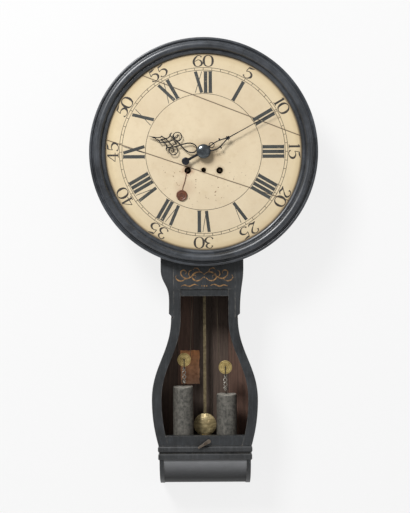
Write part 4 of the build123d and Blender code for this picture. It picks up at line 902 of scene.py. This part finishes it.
def wax_seal(material):
    """Disc of wax with a thick uneven rim and a plain pressed middle."""
    low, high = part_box("wax_seal")
    x, y, z = middle("wax_seal")
    r = (high.x - low.x) / 2
    back, front = high.y, low.y
    chance = Random(7)
    waves = [(chance.uniform(0, 2 * pi), n) for n in (2, 3, 5, 8)]
    profile = [(0.0, back), (0.93, back), (1.0, back - 1.2 * MM), (1.0, back - 3.2 * MM)]
    profile += [(share, front + d * MM) for share, d in (
        (0.95, 0.5), (0.87, 0), (0.78, 0.3), (0.7, 1.1), (0.66, 1.3), (0.56, 1.25), (0.5, 0.75), (0.44, 1.3),
        (0.2, 1.35), (0.0, 1.2))]
    rows = []
    for k in range(SEAL_SIDES):
        angle = 2 * pi * k / SEAL_SIDES
        wave = sum(sin(angle * n + phase) / n for phase, n in waves) * 0.02
        row = []
        for share, y in profile:
            here = r * share * (0.98 + min(wave, 0.02) * share)
            ripples = share > 0.5 and front + 0.4 * MM < y < back - 3.5 * MM
            row.append((x + here * cos(angle), y + (0.12 * MM * sin(angle * 5) if ripples else 0),
                        z + here * sin(angle)))
        rows.append(row)
    shape = Shape()
    shape.grid(rows, closed_rows=True, closed_ring=False)
    return shape.piece("pressed_wax_seal", material, "case", "wax", "wax_seal")


# Label
LABEL_EDGE_STEPS, LABEL_TEAR = 14, 2.2


def torn_label(material):
    """Paper label with a torn, curling outline, stuck to the backboard."""
    low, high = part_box("paper_label")
    middle_x, y, middle_z = middle("paper_label")
    chance = Random(21)
    corners = [(low.x, high.z), (high.x, high.z), (high.x, low.z), (low.x, low.z)]
    outline = []
    for (x0, z0), (x1, z1) in zip(corners, corners[1:] + corners[:1]):
        for k in range(LABEL_EDGE_STEPS):
            t = k / LABEL_EDGE_STEPS
            inward = chance.uniform(0.0, LABEL_TEAR) * MM
            px, pz = x0 + (x1 - x0) * t, z0 + (z1 - z0) * t
            outline.append((px + (inward if px < middle_x else -inward), pz + (inward if pz < middle_z else -inward)))
    rows = [[(px, high.y, pz) for px, pz in outline]]
    for share in (1.0, 0.97, 0.9, 0.6, 0.3):
        lift = 0.55 * MM if share == 0.97 else 0.45 * MM
        rows.append([(middle_x + (px - middle_x) * share, low.y + (0.6 * MM - lift), middle_z + (pz - middle_z) * share)
                     for px, pz in outline])
    shape = Shape()
    shape.grid(rows, smooth=False)
    return shape.piece("torn_paper_label", material, "case", "paper", "paper_label")


# Turn-button, in mm
BUTTON_TILT = radians(58)      # clockwise from upright
BUTTON_THICKNESS = 6 * MM
BUTTON_HEAD, BUTTON_R, BUTTON_COLLAR_R = 13, 7, 5 * MM
BUTTON_ARM = ((-2.0, -28.4), (2.0, -28.4), (3.0, -27.4), (4.4, -12.0), (5.6, 2.0))


def turn_button(material):
    """Worn wooden button: a tapered arm below its screw, a round end above it, and a collar behind."""
    low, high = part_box("turn_button")
    x, y, z = middle("turn_button_screw")
    front, back = low.y, low.y + BUTTON_THICKNESS
    outline = [*BUTTON_ARM]
    outline += [(BUTTON_R * cos(a), BUTTON_HEAD + BUTTON_R * sin(a))
                for a in (radians(-12 + 204 * k / 18) for k in range(19))]
    outline += [(-px, pz) for px, pz in reversed(BUTTON_ARM[2:])]
    rows = []
    for inset, y in ((0.0, back), (0.0, front + 1.3 * MM), (0.07, front + 0.4 * MM), (0.2, front)):
        row = []
        for px, pz in outline:
            px, pz = px * (1 - inset) * MM, (pz + 4 - (pz + 4) * inset * 0.35 - 4) * MM
            row.append((x + px * cos(BUTTON_TILT) + pz * sin(BUTTON_TILT), y,
                        z + pz * cos(BUTTON_TILT) - px * sin(BUTTON_TILT)))
        rows.append(row)
    shape = Shape()
    shape.grid(rows, smooth=False)
    root = back - 0.1 * MM
    shape.turned([(0, root), (BUTTON_COLLAR_R, root), (BUTTON_COLLAR_R, high.y), (0, high.y)], (x, 0, z), steps=24)
    return shape.piece("tapered_turn_button", material, "turn_button", "ebonised_wood", "turn_button")


# Finishes of single pieces
def label_paper():
    look = Finish("aged paper")
    look.tone = look.blend(look.fade(look.axes()[2], -0.675, -0.79), paint(238, 164, 108), paint(216, 168, 136))
    cloud = look.cloud(34.0, 7.0, 0.7, 0.42, 0.66, 0.0, 0.75)
    look.over(cloud, 152, 98, 68)
    look.over(look.cloud(90.0, 5.0, 0.55, 0.62, 0.7, 0.0, 0.6), 190, 140, 104)
    return look.done(0.8, cloud, 0.3, 0.0003)


def lead_finish():
    """Dull cast lead, streaked down the sides, with a paler pitted top."""
    look = Finish("cast lead", Metallic=0.15)
    rough, height = look.age((110, 107, 100), (66, 65, 61), 90.0, 1.0, 0.62)
    pitted = look.cloud(130.0, 4.0, 0.7, 0.45, 0.66)
    pale = look.blend(pitted, paint(170, 167, 158), paint(104, 100, 92))
    look.over(look.streak((60, 60, 5), 3.0, 5.0, 0.55, 0.5, 0.72, 0.0, 0.4), 132, 128, 119)
    look.tone = look.blend(look.fade(look.axes(look.normal())[2], 0.5, 0.9), look.tone, pale)
    return look.done(rough, height + pitted, 0.4, 0.0008)


def dusty_panel():
    """Black paint with a painted sheen where the curved base faces forwards: a lighter tone in place of a reflection.
    """
    look = Finish("dusty base panel", Specular_IOR_Level=0.2)
    painted_sheen = look.fade(look.axes(look.normal())[1] * -1.0, 0.62, 1.0)
    streak = look.grain((2.0, 30, 30), 5.0)
    look.tone = look.blend(look.fade(streak, 0.35, 0.65), paint(26, 27, 28), paint(36, 37, 38))
    # Painted sheen: lighter paint on the forward-facing part of the panel, broken up in clouds, in place of a
    # reflection.
    look.over(painted_sheen * look.cloud(14.0, 6.0, 0.6, 0.2, 0.6, 0.8, 1.0), 134, 135, 137)
    look.over(look.worn(0.003, 0.6), 120, 116, 108)
    return look.done(0.55, streak, 0.2, 0.0004)


def dented_brass():
    """Old beaten brass with soft dents, pale where it is rubbed, and with darker horizontal bands painted as
    reflections of the dents.
    """
    look = Finish("dented brass", Metallic=0.45)
    rough, height = look.age((242, 222, 170), (190, 170, 124), 55.0, 0.8, 0.4)
    # Darker horizontal bands: painted reflections of the dents.
    look.over(look.streak((10, 10, 70), 1.0, 3.0, 0.55, 0.45, 0.6, 0.0, 0.5), 126, 110, 78)
    return look.done(rough, height * 0.1 + look.noise(look.place, 48.0, 2.0), 0.8, 0.006)


BRASS = (178, 156, 100), (128, 106, 62), 60.0, 0.6, 0.38
PLATE_FRONT = -0.158


def barrel_metal():
    """Brass barrel on an iron arbor; the arbor is what stands in front of the plate."""
    look = Finish("barrel brass and iron", Metallic=0.7)
    rough, height = look.age(*BRASS)
    brass = look.tone
    iron_rough, iron_height = look.age((88, 74, 60), (48, 38, 32), 160.0, 0.8, 0.5)
    look.tone = look.blend(look.axes()[1] < PLATE_FRONT, brass, look.tone)
    return look.done(rough, iron_height)


def side_board_wood():
    """Side boards: black paint outside, bare red-brown wood inside the case."""
    look = Finish("painted side boards")
    outwards = look.add("VectorMath", {0: look.normal(), 1: look.place}, operation="MULTIPLY")
    outside = look.axes(look.out(outwards, "Vector"))[0] > 0.0
    grain = look.grain((38, 38, 1.6))
    bare = look.blend(look.fade(grain, 0.36, 0.68), paint(40, 25, 20), paint(86, 52, 40))
    clouds = look.cloud(11.0, 8.0, 0.65, 0.38, 0.66)
    look.tone = look.blend(clouds, paint(26, 28, 30), paint(44, 46, 48))
    look.over(look.worn(0.0035, 0.8), 92, 84, 76)
    look.tone = look.blend(outside, bare, look.tone)
    return look.done(look.fade(clouds, 0.0, 1.0, 0.5, 0.7), grain, 0.4, 0.0006)


PULLEY_RINGS = ((0.0195, 0.0016, 0.45), (0.0135, 0.0008, 0.5), (0.0075, 0.0012, 0.5))    # radius, half width, depth
TOOL_MARKS = 0.9 * MM


def pulley_brass(side):
    """Turned brass with darker rings round the axle."""
    look = Finish(f"{side} pulley brass", Metallic=0.6)
    x, y, z = look.axes()
    centre = middle(f"{side}_pulley_wheel")
    r = look.far(x - centre[0], z - centre[2])
    rough, height = look.age((228, 204, 138), (166, 142, 86), 90.0, 0.6, 0.36)
    for ring_r, half, amount in PULLEY_RINGS:
        look.over(look.do("COMPARE", r, ring_r, half) * amount, 92, 72, 36)
    return look.done(rough, look.do("SINE", r * (2 * pi / TOOL_MARKS)) * 0.3 + height, 0.3, 0.0003)


# Lights, wall and floor
WORLD_LIGHT, WORLD_WHITE = 0.32, 0.956
WALL_WHITE = 0.96
WALL_GLOW = 0.85          # share of the white that the shadow on the wall doesn't darken
LAMPS = {"broad_lamp": ((-2.1, -3.7, 3.1), 1.5, 278), "far_fill": ((2.6, -3.6, 0.2), 2.4, 16)}
LAMP_AIM = (0, -0.1, -0.35)
HALF_ROOM, ROOM_TOP, WALL_Y, FLOOR_Z = 4, 3, 0.004, -1.9


def room():
    """White wall with the clock's soft shadow, a pale floor and a broad lamp from the upper left."""
    scene = bpy.context.scene
    scene.view_settings.view_transform = "Standard"
    world = bpy.data.worlds.new("room")
    scene.world = world
    world.use_nodes = True
    world.node_tree.nodes.clear()
    nodes = Nodes(world.node_tree)
    lit = nodes.add("Background", {"Color": (1, 1, 1, 1), "Strength": WORLD_LIGHT})
    shown = nodes.add("Background", {"Color": (WORLD_WHITE, WORLD_WHITE, WORLD_WHITE, 1), "Strength": 1.0})
    seen = nodes.seen_by("Is Camera Ray", "Is Transmission Ray")
    mix = nodes.add("MixShader", {0: seen, 1: nodes.out(lit), 2: nodes.out(shown)})
    nodes.add("OutputWorld", {0: nodes.out(mix)})

    for name, (place, size, power) in LAMPS.items():
        lamp = bpy.data.lights.new(name, "AREA")
        lamp.size = size
        lamp.energy = power
        lamp_object = bpy.data.objects.new(name, lamp)
        lamp_object.location = place
        lamp_object.rotation_euler = (Vector(LAMP_AIM) - Vector(place)).to_track_quat("-Z", "Y").to_euler()
        scene.collection.objects.link(lamp_object)

    along_wall = [(-HALF_ROOM, WALL_Y, FLOOR_Z), (HALF_ROOM, WALL_Y, FLOOR_Z)]
    upper = [(HALF_ROOM, WALL_Y, ROOM_TOP), (-HALF_ROOM, WALL_Y, ROOM_TOP)]
    near = [(-HALF_ROOM, -HALF_ROOM, FLOOR_Z), (HALF_ROOM, -HALF_ROOM, FLOOR_Z)]
    for name, pale, corners in (("wall", 0.9, [*along_wall, *upper]), ("floor", 0.3, [*near, *reversed(along_wall)])):
        mesh = bpy.data.meshes.new(name)
        mesh.from_pydata(corners, [], [(0, 1, 2, 3)])
        mesh.materials.append(backdrop(name, pale))
        plane = bpy.data.objects.new(name, mesh)
        scene.collection.objects.link(plane)


def backdrop(name, pale):
    """White to the camera, clear from behind; pale is how much light it throws back on the clock."""
    material = bpy.data.materials.new(f"white {name}")
    material.use_nodes = True
    material.node_tree.nodes.clear()
    nodes = Nodes(material.node_tree)
    seen = nodes.seen_by("Is Camera Ray", "Is Glossy Ray", "Is Transmission Ray")
    plain = nodes.add("BsdfDiffuse", {"Color": (pale, pale, pale, 1)})
    glow = nodes.add("Emission", {"Color": (WALL_WHITE, WALL_WHITE, WALL_WHITE, 1), "Strength": 1.0})
    shown = nodes.add("MixShader", {0: seen * WALL_GLOW, 1: nodes.out(plain), 2: nodes.out(glow)})
    behind = nodes.out(nodes.add("NewGeometry"), "Backfacing")
    clear = nodes.add("BsdfTransparent")
    mix = nodes.add("MixShader", {0: behind, 1: nodes.out(shown), 2: nodes.out(clear)})
    nodes.add("OutputMaterial", {0: nodes.out(mix)})
    return material


PLANK_JOINTS = (-0.096, -0.038, 0.026, 0.082)


def finishes():
    """A material for each slot of the record."""
    return {
        "ebonised_wood": ebonised("ebonised wood", (46, 49, 52), (23, 25, 27)),
        "inner_wood": planks("bare boards", (118, 88, 74), (94, 82, 72), PLANK_JOINTS),
        "dial_paint": dial_paint(),
        "steel": aged("browned steel", (62, 66, 72), (42, 43, 46), 45.0, 0.6, 0.38, Metallic=0.75),
        "iron": aged("forged iron", (70, 64, 58), (44, 38, 34), 60.0, 0.8, 0.55, Metallic=0.5),
        "brass": aged("aged brass", *BRASS, Metallic=0.7),
        "gut": aged("gut line", (88, 78, 58), (58, 50, 38), 300.0, 0.3, 0.6),
        "cord": aged("brown twine", (118, 66, 48), (86, 46, 36), 400.0, 0.5, 0.8),
        "wax": aged("sealing wax", (114, 66, 42), (78, 44, 29), 120.0, 0.6, 0.42, 0.35),
        "bell_metal": aged("bell metal", (168, 140, 92), (120, 98, 62), 30.0, 0.3, 0.32, Metallic=0.85),
        "lead": lead_finish(),
        "paper": label_paper(),
    }


def own_finishes():
    """Finishes of single pieces that differ from the rest of their slot."""
    dull_brass = aged("dull brass", (140, 126, 94), (98, 86, 62), 70.0, 0.6, 0.46, Metallic=0.35)
    rubbed = (58, 60, 62), (34, 35, 36), 0.4, 1.8
    return {
        "base_front_panel": dusty_panel(),
        "waist_moulding": ebonised("rubbed moulding", *rubbed),
        "base_mouldings": ebonised("rubbed base moulding", *rubbed),
        "turn_button_screw": aged("rusty screw", (96, 84, 70), (58, 48, 40), 300.0, 0.6, 0.5, Metallic=0.4),
        "pendulum_rod": dull_brass,
        "pendulum_bob": dented_brass(),
        "going_barrel": barrel_metal(),
        "strike_barrel": barrel_metal(),
        "front_plate": dull_brass,
        "left_side_board": side_board_wood(),
        "right_side_board": side_board_wood(),
        "left_pulley_wheel": pulley_brass("left"),
        "right_pulley_wheel": pulley_brass("right"),
    }


def dress():
    """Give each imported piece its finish, and add the pieces that need more shape."""
    materials, own = finishes(), own_finishes()
    slots = {part["node"]: part["material_slot"] for part in frame["record"]["subparts"]}
    for node, made in frame["nodes"].items():
        material = own.get(node) or materials[slots[node]]
        if not made.material_slots:
            made.data.materials.append(material)
        for place in made.material_slots:
            place.material = material

    dial_moulding(ebonised("turned moulding", (60, 64, 70), (34, 37, 41), 0.3, 0.12, (6, 6, 6), 0.35,
                           MOULDING_JOINTS))
    ink = numeral_paint("numeral paint", (50, 52, 50), 0.6, 0.7, 0.8)
    fine_ink = numeral_paint("thin numeral paint", (44, 39, 34), 0.58, 0.72, 0.65)
    numbers("hour_numerals", ink, HOURS, ROMAN, roman_path, 0.0, 1.0)
    numbers("minute_figures", fine_ink, MINUTES, DIGITS, digit_path, ARABIC_GAP, ARABIC_HEIGHT)
    blued = aged("blued steel", (46, 50, 58), (30, 31, 34), 60.0, 0.5, 0.3, Metallic=0.55)
    hour_hand(blued)
    # The boss is polished (lower roughness), and its tone, lighter than the blued hands, is a painted highlight of the
    # dome.
    minute_hand(blued, aged("polished steel", (96, 102, 106), (58, 62, 66), 50.0, 0.4, 0.22, Metallic=0.6))
    gilt_scrolls(aged("worn gilt", (172, 130, 80), (74, 56, 42), 120.0, 0.9, 0.55, Metallic=0.1))

    twine = seal_cord(materials["cord"])
    seal = wax_seal(materials["wax"])

    wire = aged("bright wire", (196, 192, 182), (140, 134, 124), 80.0, 0.4, 0.35, Metallic=0.7)
    for side in ("left", "right"):
        lead_weight(side, materials["lead"])
        gut_lines(side, materials["gut"], *wire_parts(side, materials["iron"], wire))
    torn_label(materials["paper"])
    turn_button(ebonised("worn button", (112, 98, 84), (62, 54, 47), 0.5, 1.0))


photo_camera()
room()
dress()
